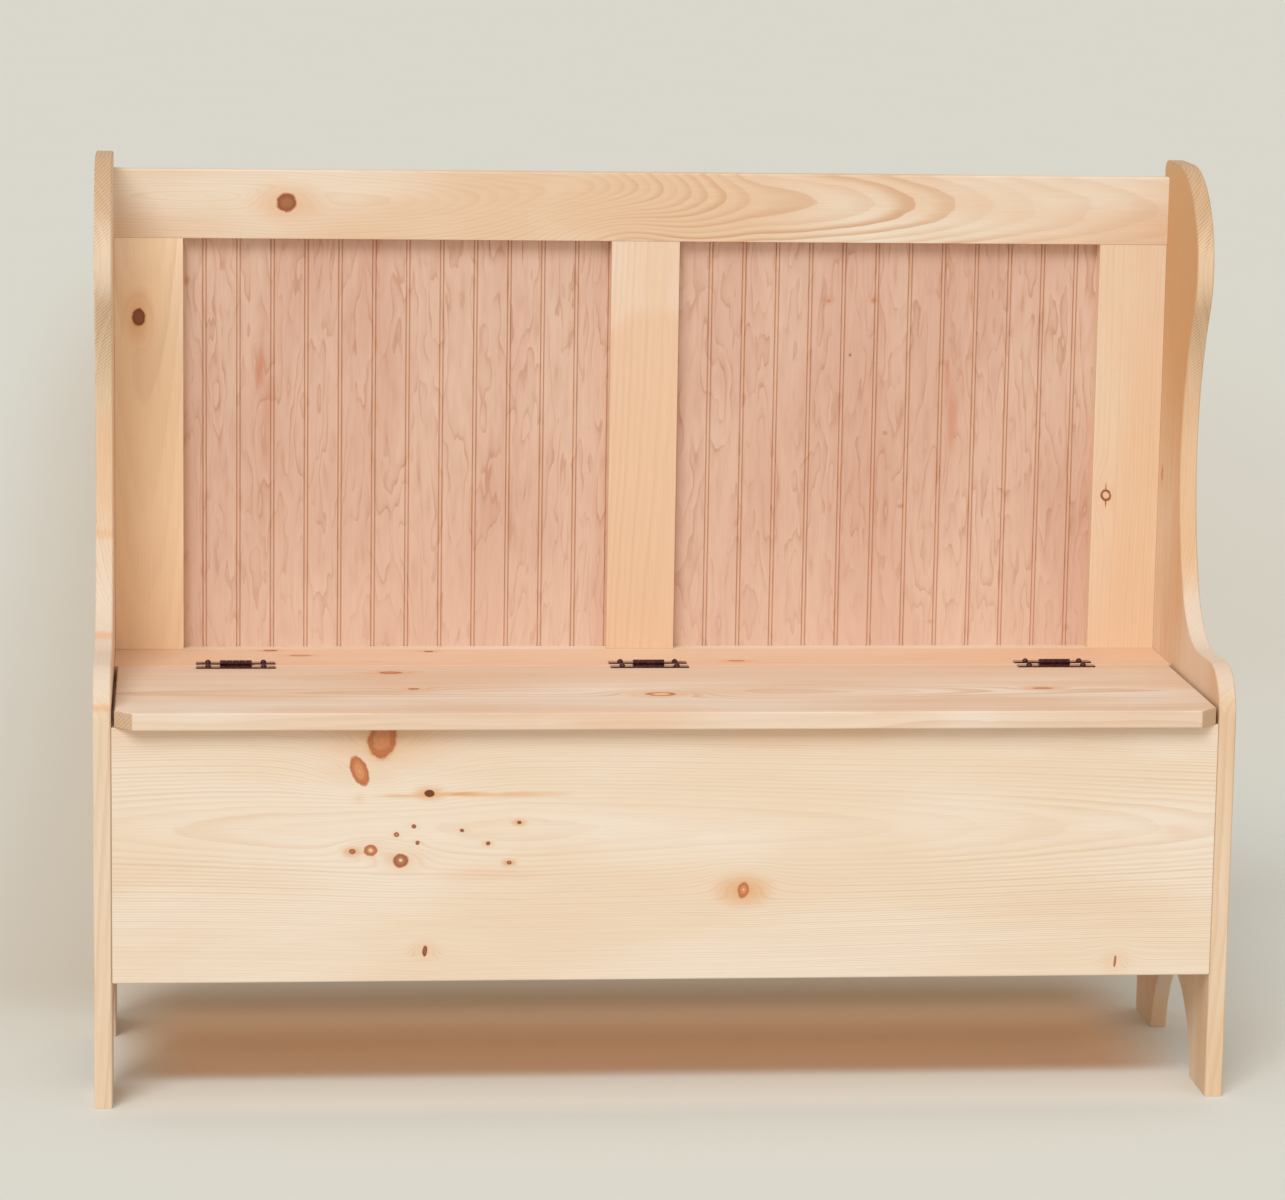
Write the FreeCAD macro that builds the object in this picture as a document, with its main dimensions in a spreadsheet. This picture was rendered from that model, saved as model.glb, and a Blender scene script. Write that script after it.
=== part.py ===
"""Storage bench in pine: scroll-cut end panels, framed back with beaded panels, hinged seat lid.

Millimetres. X runs to the bench's left-to-right as seen from the front, Y runs to the back, Z is up.
The origin is on the floor, in the middle of the bench's footprint.
"""
import FreeCAD, Part
import Sketcher
import math
import os
import re

SIZES = {
    # Boards and overall sizes
    "bench_width": 1219.2,
    "board_thickness": 19.05,
    "edge_easing": 2.0,
    "joint_easing": 0.8,
    "outline_clip": 1.5,
    # End panels: depth, height and the scroll of the front edge
    "side_depth": 381.0,
    "side_height": 988.5,
    "top_corner_radius": 12.0,
    "crown_radius": 125.0,
    "nose_radius": 97.0,
    "nose_setback": 190.5,
    "nose_drop": 108.65,
    "waist_setback": 243.0,
    "sweep_radius": 100.0,
    "waist_lean": 0.245,
    "arm_height": 472.0,
    "shoulder_radius": 53.0,
    "foot_width": 84.0,
    "arch_height": 98.0,
    # Back frame and the sheets behind it
    "back_drop": 18.5,
    "rail_width": 76.2,
    "stile_width": 76.2,
    "sheet_thickness": 5.2,
    "sheet_gap": 0.5,
    "bead_pitch": 37.75,
    "bead_pair_spacing": 3.7,
    "bead_groove_width": 1.6,
    "bead_groove_depth": 1.1,
    # Seat and chest
    "seat_height": 431.8,
    "strip_depth": 101.6,
    "seat_joint_gap": 1.6,
    "lid_overhang": 19.05,
    "lid_end_gap": 3.2,
    "lid_corner_clip": 19.05,
    "chest_bottom": 136.5,
    "floor_thickness": 12.7,
    "floor_gap": 1.0,
    "cleat_size": 19.05,
    "cleat_lift": 3.2,
    "batten_width": 38.1,
    "batten_setback": 12.0,
    "batten_inset": 290.55,
    # H hinges
    "hinge_inset": 133.35,
    "leaf_thickness": 1.6,
    "leaf_reach": 18.0,
    "leaf_bar_width": 10.5,
    "leaf_bar_length": 87.0,
    "barrel_length": 35.0,
    "barrel_radius": 3.2,
    "knuckle_gap": 0.3,
    "pin_radius": 1.5,
    "pin_play": 0.05,
    "leaf_hole_spacing": 61.0,
    "leaf_hole_diameter": 3.2,
    # Loose tenons
    "tenon_thickness": 8.0,
    "tenon_width": 38.0,
    "tenon_play": 0.1,
    "tenon_end_gap": 0.5,
    "stile_tenon_length": 28.0,
    "side_tenon_length": 34.0,
    "side_tenon_in_side": 12.0,
    "front_tenon_margin": 60.0,
    "front_tenons": 2,
}

INNER_WIDTH = "(bench_width - 2 * board_thickness)"
INNER_LEFT = "(-%s / 2)" % INNER_WIDTH
FRAME_BACK = "(side_depth - sheet_thickness)"
FRAME_FACE = "(%s - board_thickness)" % FRAME_BACK
STRIP_FRONT = "(%s - strip_depth)" % FRAME_FACE
PIN_Y = "(%s - seat_joint_gap / 2)" % STRIP_FRONT
PIN_Z = "(seat_height + barrel_radius)"
SEAT_UNDERSIDE = "(seat_height - board_thickness)"
BACK_TOP = "(side_height - back_drop)"
STILE_LENGTH = "(%s - rail_width - seat_height)" % BACK_TOP
CLEAT_TOP = "(chest_bottom + cleat_lift + cleat_size)"
SHEET_JOINT = "(seat_height - rail_width / 2)"
NOSE_HEIGHT = "(side_height - nose_drop)"
WAIST_HEIGHT = "((arm_height + %s) / 2)" % NOSE_HEIGHT
WAIST_REACH = "(waist_lean * (%s - arm_height - sweep_radius))" % WAIST_HEIGHT
SWEEP_SETBACK = "(waist_setback - sweep_radius - %s)" % WAIST_REACH
LEAF_HOLE_ROW = "(leaf_reach - leaf_bar_width / 2)"
FOOTPRINT_MIDDLE = "((side_depth - lid_overhang) / 2)"

KNUCKLES = 5
KNUCKLE_PITCH = "(barrel_length / %d)" % KNUCKLES

UP = FreeCAD.Vector(0, 0, 1)

doc = FreeCAD.newDocument("StorageBench")
sheet = doc.addObject("Spreadsheet::Sheet", "Sizes")
for row, (alias, size) in enumerate(SIZES.items(), start=1):
    sheet.set("A%d" % row, alias)
    sheet.set("B%d" % row, str(size))
    sheet.setAlias("B%d" % row, alias)
doc.recompute()


def bound(text):
    """The expression text with each size's name turned into its cell of the sheet."""
    def cell(word):
        return "Sizes." + word.group() if word.group() in SIZES else word.group()
    return re.sub(r"[a-z_]+", cell, str(text))


def value(text):
    """The number that an expression gives now."""
    return float(sheet.evalExpression(bound(text)))


def new_body(label):
    body = doc.addObject("PartDesign::Body", label)
    body.Label = label
    return body


def place(body, x="0", y="0", z="0", rotation=None):
    """Puts a body at a point whose coordinates follow the sheet. Y is given from the front edge of the end
    panels; the bench stands with the middle of its footprint, lid overhang included, on the origin."""
    if rotation is not None:
        body.Placement = FreeCAD.Placement(FreeCAD.Vector(), rotation)
    body.setExpression("Placement.Base.x", bound(x))
    body.setExpression("Placement.Base.y", bound("%s - %s" % (y, FOOTPRINT_MIDDLE)))
    body.setExpression("Placement.Base.z", bound(z))


def origin_feature(body, role):
    return [feature for feature in body.Origin.OriginFeatures if feature.Role == role][0]


def new_sketch(body, name, plane, offset="0"):
    """A sketch on one of the body's own planes, moved along the plane's normal by an expression."""
    sketch = body.newObject("Sketcher::SketchObject", name)
    sketch.AttachmentSupport = [(origin_feature(body, plane), "")]
    sketch.MapMode = "FlatFace"
    sketch.setExpression("AttachmentOffset.Base.z", bound(offset))
    return sketch


def dimension(sketch, kind, *geometry_and_expression):
    """A driving dimension whose value is bound to an expression."""
    *geometry, expression = geometry_and_expression
    index = sketch.addConstraint(Sketcher.Constraint(kind, *geometry, value(expression)))
    sketch.setExpression("Constraints[%d]" % index, bound(expression))


def anchor(sketch, geometry, point, across, up):
    """Fixes a point of the geometry at two expressions, measured from the sketch's origin."""
    for kind, axis, expression in (("DistanceX", -2, across), ("DistanceY", -1, up)):
        if str(expression) == "0":
            sketch.addConstraint(Sketcher.Constraint("PointOnObject", geometry, point, axis))
        else:
            dimension(sketch, kind, -1, 1, geometry, point, expression)


def draw_polygon(sketch, corners):
    """A closed outline of straight lines through corners given as pairs of expressions."""
    points = [FreeCAD.Vector(value(across), value(up), 0) for across, up in corners]
    count = len(points)
    first = sketch.GeometryCount
    for index in range(count):
        sketch.addGeometry(Part.LineSegment(points[index], points[(index + 1) % count]), False)
    for index in range(count):
        following = first + (index + 1) % count
        sketch.addConstraint(Sketcher.Constraint("Coincident", first + index, 2, following, 1))
    for index, (across, up) in enumerate(corners):
        anchor(sketch, first + index, 1, across, up)


def draw_rectangle(sketch, left, bottom, right, top):
    draw_polygon(sketch, [(left, bottom), (right, bottom), (right, top), (left, top)])


def draw_circles(sketch, centres, diameter):
    for across, up in centres:
        centre = FreeCAD.Vector(value(across), value(up), 0)
        circle = sketch.addGeometry(Part.Circle(centre, UP, value(diameter) / 2), False)
        anchor(sketch, circle, 3, across, up)
        dimension(sketch, "Diameter", circle, diameter)


def pad(body, sketch, length, name="Pad", symmetric=False, reversed_side=False):
    feature = body.newObject("PartDesign::Pad", name)
    feature.Profile = sketch
    feature.SideType = "Symmetric" if symmetric else "One side"
    feature.Reversed = reversed_side
    feature.setExpression("Length", bound(length))
    doc.recompute()
    return feature


def pocket(body, sketch, depth=None, name="Pocket", reversed_side=False):
    """A cut to a depth, or right through both ways where no depth is given; it has to remove material."""
    before = body.Shape.Volume
    feature = body.newObject("PartDesign::Pocket", name)
    feature.Profile = sketch
    if depth is None:
        feature.Type = "ThroughAll"
        feature.SideType = "Symmetric"
    else:
        feature.Reversed = reversed_side
        feature.setExpression("Length", bound(depth))
    doc.recompute()
    if body.Shape.Volume > before - 1e-3:
        raise RuntimeError("%s of %s cuts nothing" % (name, body.Label))
    return feature


def ease(body, size, wanted, name="Easing", kind="Fillet"):
    """Rounds, or as a Chamfer clips, the edges of the body's tip that wanted(edge) picks; it looks at them
    in body coordinates."""
    tip = body.Tip
    names = ["Edge%d" % (index + 1) for index, edge in enumerate(tip.Shape.Edges) if wanted(edge)]
    if not names:
        raise RuntimeError("no edge to ease on %s" % body.Label)
    feature = body.newObject("PartDesign::" + kind, name)
    feature.Base = (tip, names)
    feature.setExpression("Radius" if kind == "Fillet" else "Size", bound(size))
    doc.recompute()
    return feature


def lies_on(edge, **levels):
    """True where every point of the edge's box is at the given x, y or z level."""
    box = edge.BoundBox
    spans = {"x": (box.XMin, box.XMax), "y": (box.YMin, box.YMax), "z": (box.ZMin, box.ZMax)}
    return all(max(abs(spans[axis][0] - level), abs(spans[axis][1] - level)) < 1e-3
               for axis, level in levels.items())


def board(label, length, depth, height, at, easings=()):
    """A straight board along X. Each easing is (radius, faces), where faces is a list of pairs such as
    ("y0", "z1"): the long edge where the low Y face meets the high Z face."""
    body = new_body(label)
    outline = new_sketch(body, label + "_outline", "XY_Plane")
    draw_rectangle(outline, "0", "0", length, depth)
    pad(body, outline, height, label + "_board")
    place(body, *at)
    levels = {"x0": 0.0, "y0": 0.0, "z0": 0.0, "x1": value(length), "y1": value(depth), "z1": value(height)}
    for radius, faces in easings:
        def wanted(edge):
            return any(lies_on(edge, **{face[0]: levels[face] for face in pair}) for pair in faces)
        ease(body, radius, wanted, label + "_easing_" + radius)
    return body


def bore(body, name, plane, offset, centres, diameter, depth=None, reversed_side=False):
    """Round holes through or into a body from one of its planes."""
    sketch = new_sketch(body, name + "_centres", plane, offset)
    draw_circles(sketch, centres, diameter)
    return pocket(body, sketch, depth, name, reversed_side)


def draw_tenons(sketch, plane, centres, play="0"):
    """Sections of loose tenons round their centres, with clearance on every side. On a board's end, in the
    YZ plane, they stand upright; on its edge, in the XY plane, they lie along the bench."""
    across, up = "tenon_width", "tenon_thickness"
    if plane == "YZ_Plane":
        across, up = up, across
    for centre_across, centre_up in centres:
        reach = "(%s / 2 + %s)" % (across, play)
        rise = "(%s / 2 + %s)" % (up, play)
        draw_rectangle(sketch, "(%s - %s)" % (centre_across, reach), "(%s - %s)" % (centre_up, rise),
                       "(%s + %s)" % (centre_across, reach), "(%s + %s)" % (centre_up, rise))


def mortises(body, name, plane, offset, centres, depth, reversed_side=False):
    """Blind mortises for loose tenons, cut into a body from one of its planes."""
    sketch = new_sketch(body, name + "_outlines", plane, offset)
    draw_tenons(sketch, plane, centres, "tenon_play")
    pocket(body, sketch, depth, name, reversed_side)


def spaced(count, first, last):
    """Expressions for evenly spaced places from the first to the last."""
    steps = int(value(count)) - 1
    return ["(%s + (%s - %s) * %d / %d)" % (first, last, first, index, max(steps, 1))
            for index in range(steps + 1)]


# Places that mortises share with the tenons that sit in them

RAIL_BOTTOMS = {
    "back_top_rail": "(%s - rail_width)" % BACK_TOP,
    "back_seat_rail": "(seat_height - rail_width)",
    "back_bottom_rail": "chest_bottom",
}
FRAME_MIDDLE = "(%s + board_thickness / 2)" % FRAME_FACE
STILE_CENTRES = {
    "left": "(%s + stile_width / 2)" % INNER_LEFT,
    "centre": "0",
    "right": "(-%s - stile_width / 2)" % INNER_LEFT,
}
FRONT_PANEL_HEIGHT = "(%s - chest_bottom)" % SEAT_UNDERSIDE
SIDE_MORTISE_DEPTH = "(side_tenon_in_side + tenon_end_gap)"
BOARD_MORTISE_DEPTH = "(side_tenon_length - side_tenon_in_side + tenon_end_gap)"
STILE_MORTISE_DEPTH = "(stile_tenon_length / 2 + tenon_end_gap)"


def front_tenon_heights():
    return spaced("front_tenons", "(chest_bottom + front_tenon_margin)",
                  "(%s - front_tenon_margin)" % SEAT_UNDERSIDE)


def side_tenon_centres():
    """Y and Z of every tenon between an end panel and the boards that meet it."""
    rails = [(FRAME_MIDDLE, "(%s + rail_width / 2)" % bottom) for bottom in RAIL_BOTTOMS.values()]
    return rails + [("(board_thickness / 2)", height) for height in front_tenon_heights()]


def tangent_point(centre, radius, other):
    """The point of a circle on the line from its centre towards, or away from, another centre."""
    direction = (other - centre).normalize()
    return centre + direction * radius


def tangent_radius(start, centre, radius):
    """The radius of the arc that leaves a point upright, its centre level with it on the low side, and runs
    tangent to a circle: from outside, or from inside where that circle's radius is given as negative."""
    across, up = centre.x - start.x, centre.y - start.y
    return (across ** 2 + up ** 2 - radius ** 2) / (2 * (radius - across))


def angle_of(point, centre):
    return math.atan2(point.y - centre.y, point.x - centre.x)


def arc(centre, radius, start, end):
    """The arc that runs anticlockwise from one point to the other."""
    return Part.ArcOfCircle(Part.Circle(centre, UP, radius), angle_of(start, centre), angle_of(end, centre))


def draw_side_outline(sketch):
    """The end panel's outline: across is the bench's Y, up is Z. The front edge is a chain of tangent arcs:
    crown, nose, both halves of the waist, sweep and shoulder, joined to straight runs at the top, the arm
    and the front. The waist is deepest midway between the arm and the nose, and its two arcs meet there,
    upright. It leans back from the sweep by a share of its rise, and its radii follow from the sweep below
    and the nose above."""
    point = FreeCAD.Vector
    depth, height = value("side_depth"), value("side_height")
    corner, shoulder, arm = value("top_corner_radius"), value("shoulder_radius"), value("arm_height")
    crown_r, nose_r, sweep_r = value("crown_radius"), value("nose_radius"), value("sweep_radius")
    foot = value("foot_width")
    nose = point(value("nose_setback") + nose_r, value(NOSE_HEIGHT), 0)
    crown_rise = height - crown_r - nose.y
    crown = point(nose.x + math.sqrt((crown_r - nose_r) ** 2 - crown_rise ** 2), height - crown_r, 0)
    sweep = point(value(SWEEP_SETBACK), arm + sweep_r, 0)
    deepest = point(value("waist_setback"), value(WAIST_HEIGHT), 0)
    upper_r = tangent_radius(deepest, nose, nose_r)
    lower_r = tangent_radius(deepest, sweep, -sweep_r)
    upper = point(deepest.x - upper_r, deepest.y, 0)
    lower = point(deepest.x - lower_r, deepest.y, 0)
    crown_nose = tangent_point(nose, -nose_r, crown)
    nose_waist = tangent_point(nose, nose_r, upper)
    waist_sweep = tangent_point(lower, lower_r, sweep)
    half_arch = (depth - 2 * foot) / 2
    arch_r = (half_arch ** 2 + value("arch_height") ** 2) / (2 * value("arch_height"))
    arch = point(depth / 2, value("arch_height") - arch_r, 0)

    line = Part.LineSegment
    pieces = [
        ("back", line(point(depth, 0, 0), point(depth, height - corner, 0))),
        ("corner", arc(point(depth - corner, height - corner, 0), corner,
                       point(depth, height - corner, 0), point(depth - corner, height, 0))),
        ("top", line(point(depth - corner, height, 0), point(crown.x, height, 0))),
        ("crown", arc(crown, crown_r, point(crown.x, height, 0), crown_nose)),
        ("nose", arc(nose, nose_r, crown_nose, nose_waist)),
        ("upper_waist", arc(upper, upper_r, deepest, nose_waist)),
        ("lower_waist", arc(lower, lower_r, waist_sweep, deepest)),
        ("sweep", arc(sweep, sweep_r, point(sweep.x, arm, 0), waist_sweep)),
        ("arm", line(point(sweep.x, arm, 0), point(shoulder, arm, 0))),
        ("shoulder", arc(point(shoulder, arm - shoulder, 0), shoulder,
                         point(shoulder, arm, 0), point(0, arm - shoulder, 0))),
        ("front", line(point(0, arm - shoulder, 0), point(0, 0, 0))),
        ("front_foot", line(point(0, 0, 0), point(foot, 0, 0))),
        ("arch", arc(arch, arch_r, point(depth - foot, 0, 0), point(foot, 0, 0))),
        ("rear_foot", line(point(depth - foot, 0, 0), point(depth, 0, 0))),
    ]
    number = {name: sketch.addGeometry(shape, False) for name, shape in pieces}

    smooth = [("back", 2, "corner", 1), ("corner", 2, "top", 1), ("top", 2, "crown", 1),
              ("crown", 2, "nose", 1), ("nose", 2, "upper_waist", 2), ("upper_waist", 1, "lower_waist", 2),
              ("lower_waist", 1, "sweep", 2), ("sweep", 1, "arm", 1), ("arm", 2, "shoulder", 1),
              ("shoulder", 2, "front", 1)]
    corners = [("front", 2, "front_foot", 1), ("front_foot", 2, "arch", 2), ("arch", 1, "rear_foot", 1),
               ("rear_foot", 2, "back", 1)]
    for kind, meetings in (("Tangent", smooth), ("Coincident", corners)):
        for one, one_end, other, other_end in meetings:
            sketch.addConstraint(Sketcher.Constraint(kind, number[one], one_end, number[other], other_end))
    for name in ("back", "front"):
        sketch.addConstraint(Sketcher.Constraint("Vertical", number[name]))
    for name in ("top", "arm", "front_foot", "rear_foot"):
        sketch.addConstraint(Sketcher.Constraint("Horizontal", number[name]))
    sketch.addConstraint(Sketcher.Constraint("Coincident", number["front"], 2, -1, 1))
    sketch.addConstraint(Sketcher.Constraint("PointOnObject", number["back"], 1, -1))
    dimension(sketch, "DistanceX", -1, 1, number["back"], 1, "side_depth")
    dimension(sketch, "DistanceY", -1, 1, number["top"], 1, "side_height")
    dimension(sketch, "DistanceY", -1, 1, number["arm"], 1, "arm_height")
    anchor(sketch, number["nose"], 3, "(nose_setback + nose_radius)", NOSE_HEIGHT)
    anchor(sketch, number["upper_waist"], 1, "waist_setback", WAIST_HEIGHT)
    dimension(sketch, "DistanceX", -1, 1, number["sweep"], 1, SWEEP_SETBACK)
    dimension(sketch, "Radius", number["corner"], "top_corner_radius")
    for name in ("crown", "nose", "sweep", "shoulder"):
        dimension(sketch, "Radius", number[name], name + "_radius")
    waist = number["upper_waist"]
    sketch.addConstraint(Sketcher.Constraint("Horizontal", waist, 3, waist, 1))
    dimension(sketch, "DistanceX", number["front_foot"], 1, number["front_foot"], 2, "foot_width")
    dimension(sketch, "DistanceX", number["rear_foot"], 1, number["rear_foot"], 2, "foot_width")
    dimension(sketch, "Radius", number["arch"],
              "((side_depth / 2 - foot_width) ^ 2 + arch_height ^ 2) / (2 * arch_height)")


def side_panel(label, left_end):
    """An end panel, clipped round its outline except under the feet, with mortises in its inner face."""
    body = new_body(label)
    outline = new_sketch(body, label + "_outline", "YZ_Plane")
    draw_side_outline(outline)
    pad(body, outline, "board_thickness", label + "_board")
    thickness = value("board_thickness")

    def on_outline(edge):
        on_face = lies_on(edge, x=0.0) or lies_on(edge, x=thickness)
        return on_face and edge.BoundBox.ZMax > 1e-3

    ease(body, "outline_clip", on_outline, label + "_clip", "Chamfer")
    mortises(body, label + "_mortises", "YZ_Plane", "board_thickness" if left_end else "0",
             side_tenon_centres(), SIDE_MORTISE_DEPTH, reversed_side=not left_end)
    place(body, "(-bench_width / 2)" if left_end else "(bench_width / 2 - board_thickness)")
    return body


def end_mortises(body, heights):
    """Mortises in both ends of a board, at heights above the board's own bottom."""
    centres = [("(board_thickness / 2)", height) for height in heights]
    mortises(body, body.Label + "_left_mortises", "YZ_Plane", "0", centres, BOARD_MORTISE_DEPTH,
             reversed_side=True)
    mortises(body, body.Label + "_right_mortises", "YZ_Plane", INNER_WIDTH, centres, BOARD_MORTISE_DEPTH)


def back_rail(label, eased):
    """A rail of the back frame, between the end panels."""
    at = (INNER_LEFT, FRAME_FACE, RAIL_BOTTOMS[label])
    body = board(label, INNER_WIDTH, "board_thickness", "rail_width", at, eased)
    end_mortises(body, ["(rail_width / 2)"])
    return body


def stile_mortises(body, offset, reversed_side):
    """Mortises for the stiles' tenons in a rail's edge."""
    centres = [("(%s - %s)" % (x, INNER_LEFT), "(board_thickness / 2)") for x in STILE_CENTRES.values()]
    mortises(body, body.Label + "_stile_mortises", "XY_Plane", offset, centres, STILE_MORTISE_DEPTH,
             reversed_side)


def back_stile(name):
    centre = STILE_CENTRES[name]
    long_edges = [(x, "y0") for x in ("x0", "x1")]
    at = ("(%s - stile_width / 2)" % centre, FRAME_FACE, "seat_height")
    body = board("back_stile_" + name, "stile_width", "board_thickness", STILE_LENGTH, at,
                 [("joint_easing", long_edges)])
    for end, height in (("lower", "0"), ("upper", STILE_LENGTH)):
        mortises(body, "%s_%s_mortise" % (body.Label, end), "XY_Plane", height,
                 [("(stile_width / 2)", "(board_thickness / 2)")], STILE_MORTISE_DEPTH,
                 reversed_side=end == "lower")


def beadboard(label, side):
    """A plywood panel with pairs of V grooves, counted from the bench's middle; side is -1 or 1."""
    body = new_body(label)
    width = "(%s / 2 - sheet_gap)" % INNER_WIDTH
    edges = ["(%d * sheet_gap / 2)" % side, "(%d * (%s + sheet_gap / 2))" % (side, width)]
    left, right = sorted(edges, key=value)
    panel = new_sketch(body, label + "_section", "XY_Plane")
    draw_rectangle(panel, left, "0", right, "sheet_thickness")
    pad(body, panel, "(%s - rail_width / 2 - %s)" % (BACK_TOP, SHEET_JOINT), label + "_sheet")
    grooves = new_sketch(body, label + "_groove_pair", "XY_Plane")
    for offset in (-1, 1):
        middle = "(%d * bead_pitch + (%d) * bead_pair_spacing / 2)" % (side, offset)
        left, right = ["(%s + (%d) * bead_groove_width / 2)" % (middle, edge) for edge in (-1, 1)]
        draw_polygon(grooves, [(left, "0"), (middle, "bead_groove_depth"), (right, "0")])
    cut = pocket(body, grooves, None, label + "_grooves")
    pattern = body.newObject("PartDesign::LinearPattern", label + "_beads")
    pattern.Originals = [cut]
    pattern.Direction = (origin_feature(body, "X_Axis"), [""])
    pattern.Reversed = side < 0
    pattern.Mode = "Spacing"
    pattern.setExpression("Offset", bound("bead_pitch"))
    pattern.setExpression("Occurrences", bound("floor((%s - bead_pair_spacing) / bead_pitch)" % width))
    body.Tip = pattern
    doc.recompute()
    place(body, "0", FRAME_BACK, SHEET_JOINT)
    return body


def front_panel():
    at = (INNER_LEFT, "0", "chest_bottom")
    body = board("front_panel", INNER_WIDTH, "board_thickness", FRONT_PANEL_HEIGHT, at,
                 [("edge_easing", [("y0", "z0"), ("y1", "z0")])])
    end_mortises(body, ["(%s - chest_bottom)" % height for height in front_tenon_heights()])


def end_cleat(label, left_end, ends, bottom):
    """A square cleat on an end panel's inner face, between two places from the front."""
    start, end = ends
    x = INNER_LEFT if left_end else "(-%s - cleat_size)" % INNER_LEFT
    board(label, "cleat_size", "(%s - %s)" % (end, start), "cleat_size", (x, start, bottom))


def hinge_places():
    return {
        "left": "(%s + hinge_inset)" % INNER_LEFT,
        "centre": "0",
        "right": "(-%s - hinge_inset)" % INNER_LEFT,
    }


def seat_strip():
    """The fixed rear part of the seat, between the end panels."""
    board("seat_strip", INNER_WIDTH, "strip_depth", "board_thickness",
          (INNER_LEFT, STRIP_FRONT, SEAT_UNDERSIDE), [("joint_easing", [("y0", "z1"), ("y0", "z0")])])


def seat_lid():
    """The lid. Its front corners are clipped where they pass the end panels."""
    body = new_body("seat_lid")
    half = "(%s / 2 - lid_end_gap)" % INNER_WIDTH
    rear = "(%s - seat_joint_gap)" % STRIP_FRONT
    front = "(-lid_overhang)"
    clip_start = "(lid_corner_clip - lid_overhang)"
    outline = new_sketch(body, "seat_lid_outline", "XY_Plane")
    draw_polygon(outline, [
        ("(-%s)" % half, rear), ("(-%s)" % half, clip_start), ("(lid_corner_clip - %s)" % half, front),
        ("(%s - lid_corner_clip)" % half, front), (half, clip_start), (half, rear),
    ])
    pad(body, outline, "board_thickness", "seat_lid_board")
    top, back = value("board_thickness"), value(rear)

    def on_outer_edge(edge):
        return (lies_on(edge, z=top) or lies_on(edge, z=0.0)) and not lies_on(edge, y=back)

    ease(body, "edge_easing", on_outer_edge, "seat_lid_easing")
    ease(body, "joint_easing", lambda edge: lies_on(edge, y=back, z=top), "seat_lid_rear_easing")
    place(body, "0", "0", SEAT_UNDERSIDE)


def lid_batten(name, sign):
    """A batten across the underside of the lid."""
    front = "(board_thickness + batten_setback)"
    back = "(%s - seat_joint_gap - batten_setback)" % STRIP_FRONT
    middle = "((%d) * (-%s - batten_inset))" % (sign, INNER_LEFT)
    at = ("(%s - batten_width / 2)" % middle, front, "(%s - cleat_size)" % SEAT_UNDERSIDE)
    board("lid_batten_" + name, "batten_width", "(%s - %s)" % (back, front), "cleat_size", at,
          [("edge_easing", [("x0", "z0"), ("x1", "z0"), ("y0", "z0"), ("y1", "z0")])])


def hinge_leaf(label, x, on_lid):
    """One leaf of an H hinge. Its own origin is on the pin's axis and +Y points over the leaf. The lid's
    leaf is turned half round, and its knuckles fill the gaps between those of the fixed one."""
    body = new_body(label)
    inner = "(barrel_radius + knuckle_gap)"
    bar_inner = "(leaf_reach - leaf_bar_width)"
    plate = new_sketch(body, label + "_plate_outline", "XY_Plane", "(-barrel_radius)")
    web, bar = "(barrel_length / 2)", "(leaf_bar_length / 2)"
    draw_polygon(plate, [
        ("(-%s)" % web, inner), (web, inner), (web, bar_inner), (bar, bar_inner), (bar, "leaf_reach"),
        ("(-%s)" % bar, "leaf_reach"), ("(-%s)" % bar, bar_inner), ("(-%s)" % web, bar_inner),
    ])
    pad(body, plate, "leaf_thickness", label + "_plate")
    first_knuckle = 1 if on_lid else 0
    knuckle = new_sketch(body, label + "_knuckle_outline", "YZ_Plane",
                         "(-barrel_length / 2 + %s * %d + knuckle_gap / 2)" % (KNUCKLE_PITCH, first_knuckle))
    draw_knuckle(knuckle, inner)
    first = pad(body, knuckle, "(%s - knuckle_gap)" % KNUCKLE_PITCH, label + "_knuckle")
    pattern = body.newObject("PartDesign::LinearPattern", label + "_knuckles")
    pattern.Originals = [first]
    pattern.Direction = (origin_feature(body, "X_Axis"), [""])
    pattern.Mode = "Spacing"
    pattern.setExpression("Offset", bound("2 * %s" % KNUCKLE_PITCH))
    pattern.Occurrences = (KNUCKLES + 1) // 2 - first_knuckle
    body.Tip = pattern
    doc.recompute()
    bore(body, label + "_pin_bore", "YZ_Plane", "0", [("0", "0")], "(2 * (pin_radius + pin_play))")
    holes = [("((%d) * leaf_hole_spacing / 2)" % side, LEAF_HOLE_ROW) for side in (-1, 1)]
    bore(body, label + "_screw_holes", "XY_Plane", "(leaf_thickness / 2 - barrel_radius)", holes,
         "leaf_hole_diameter")
    place(body, x, PIN_Y, PIN_Z, FreeCAD.Rotation(UP, 180 if on_lid else 0))


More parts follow.
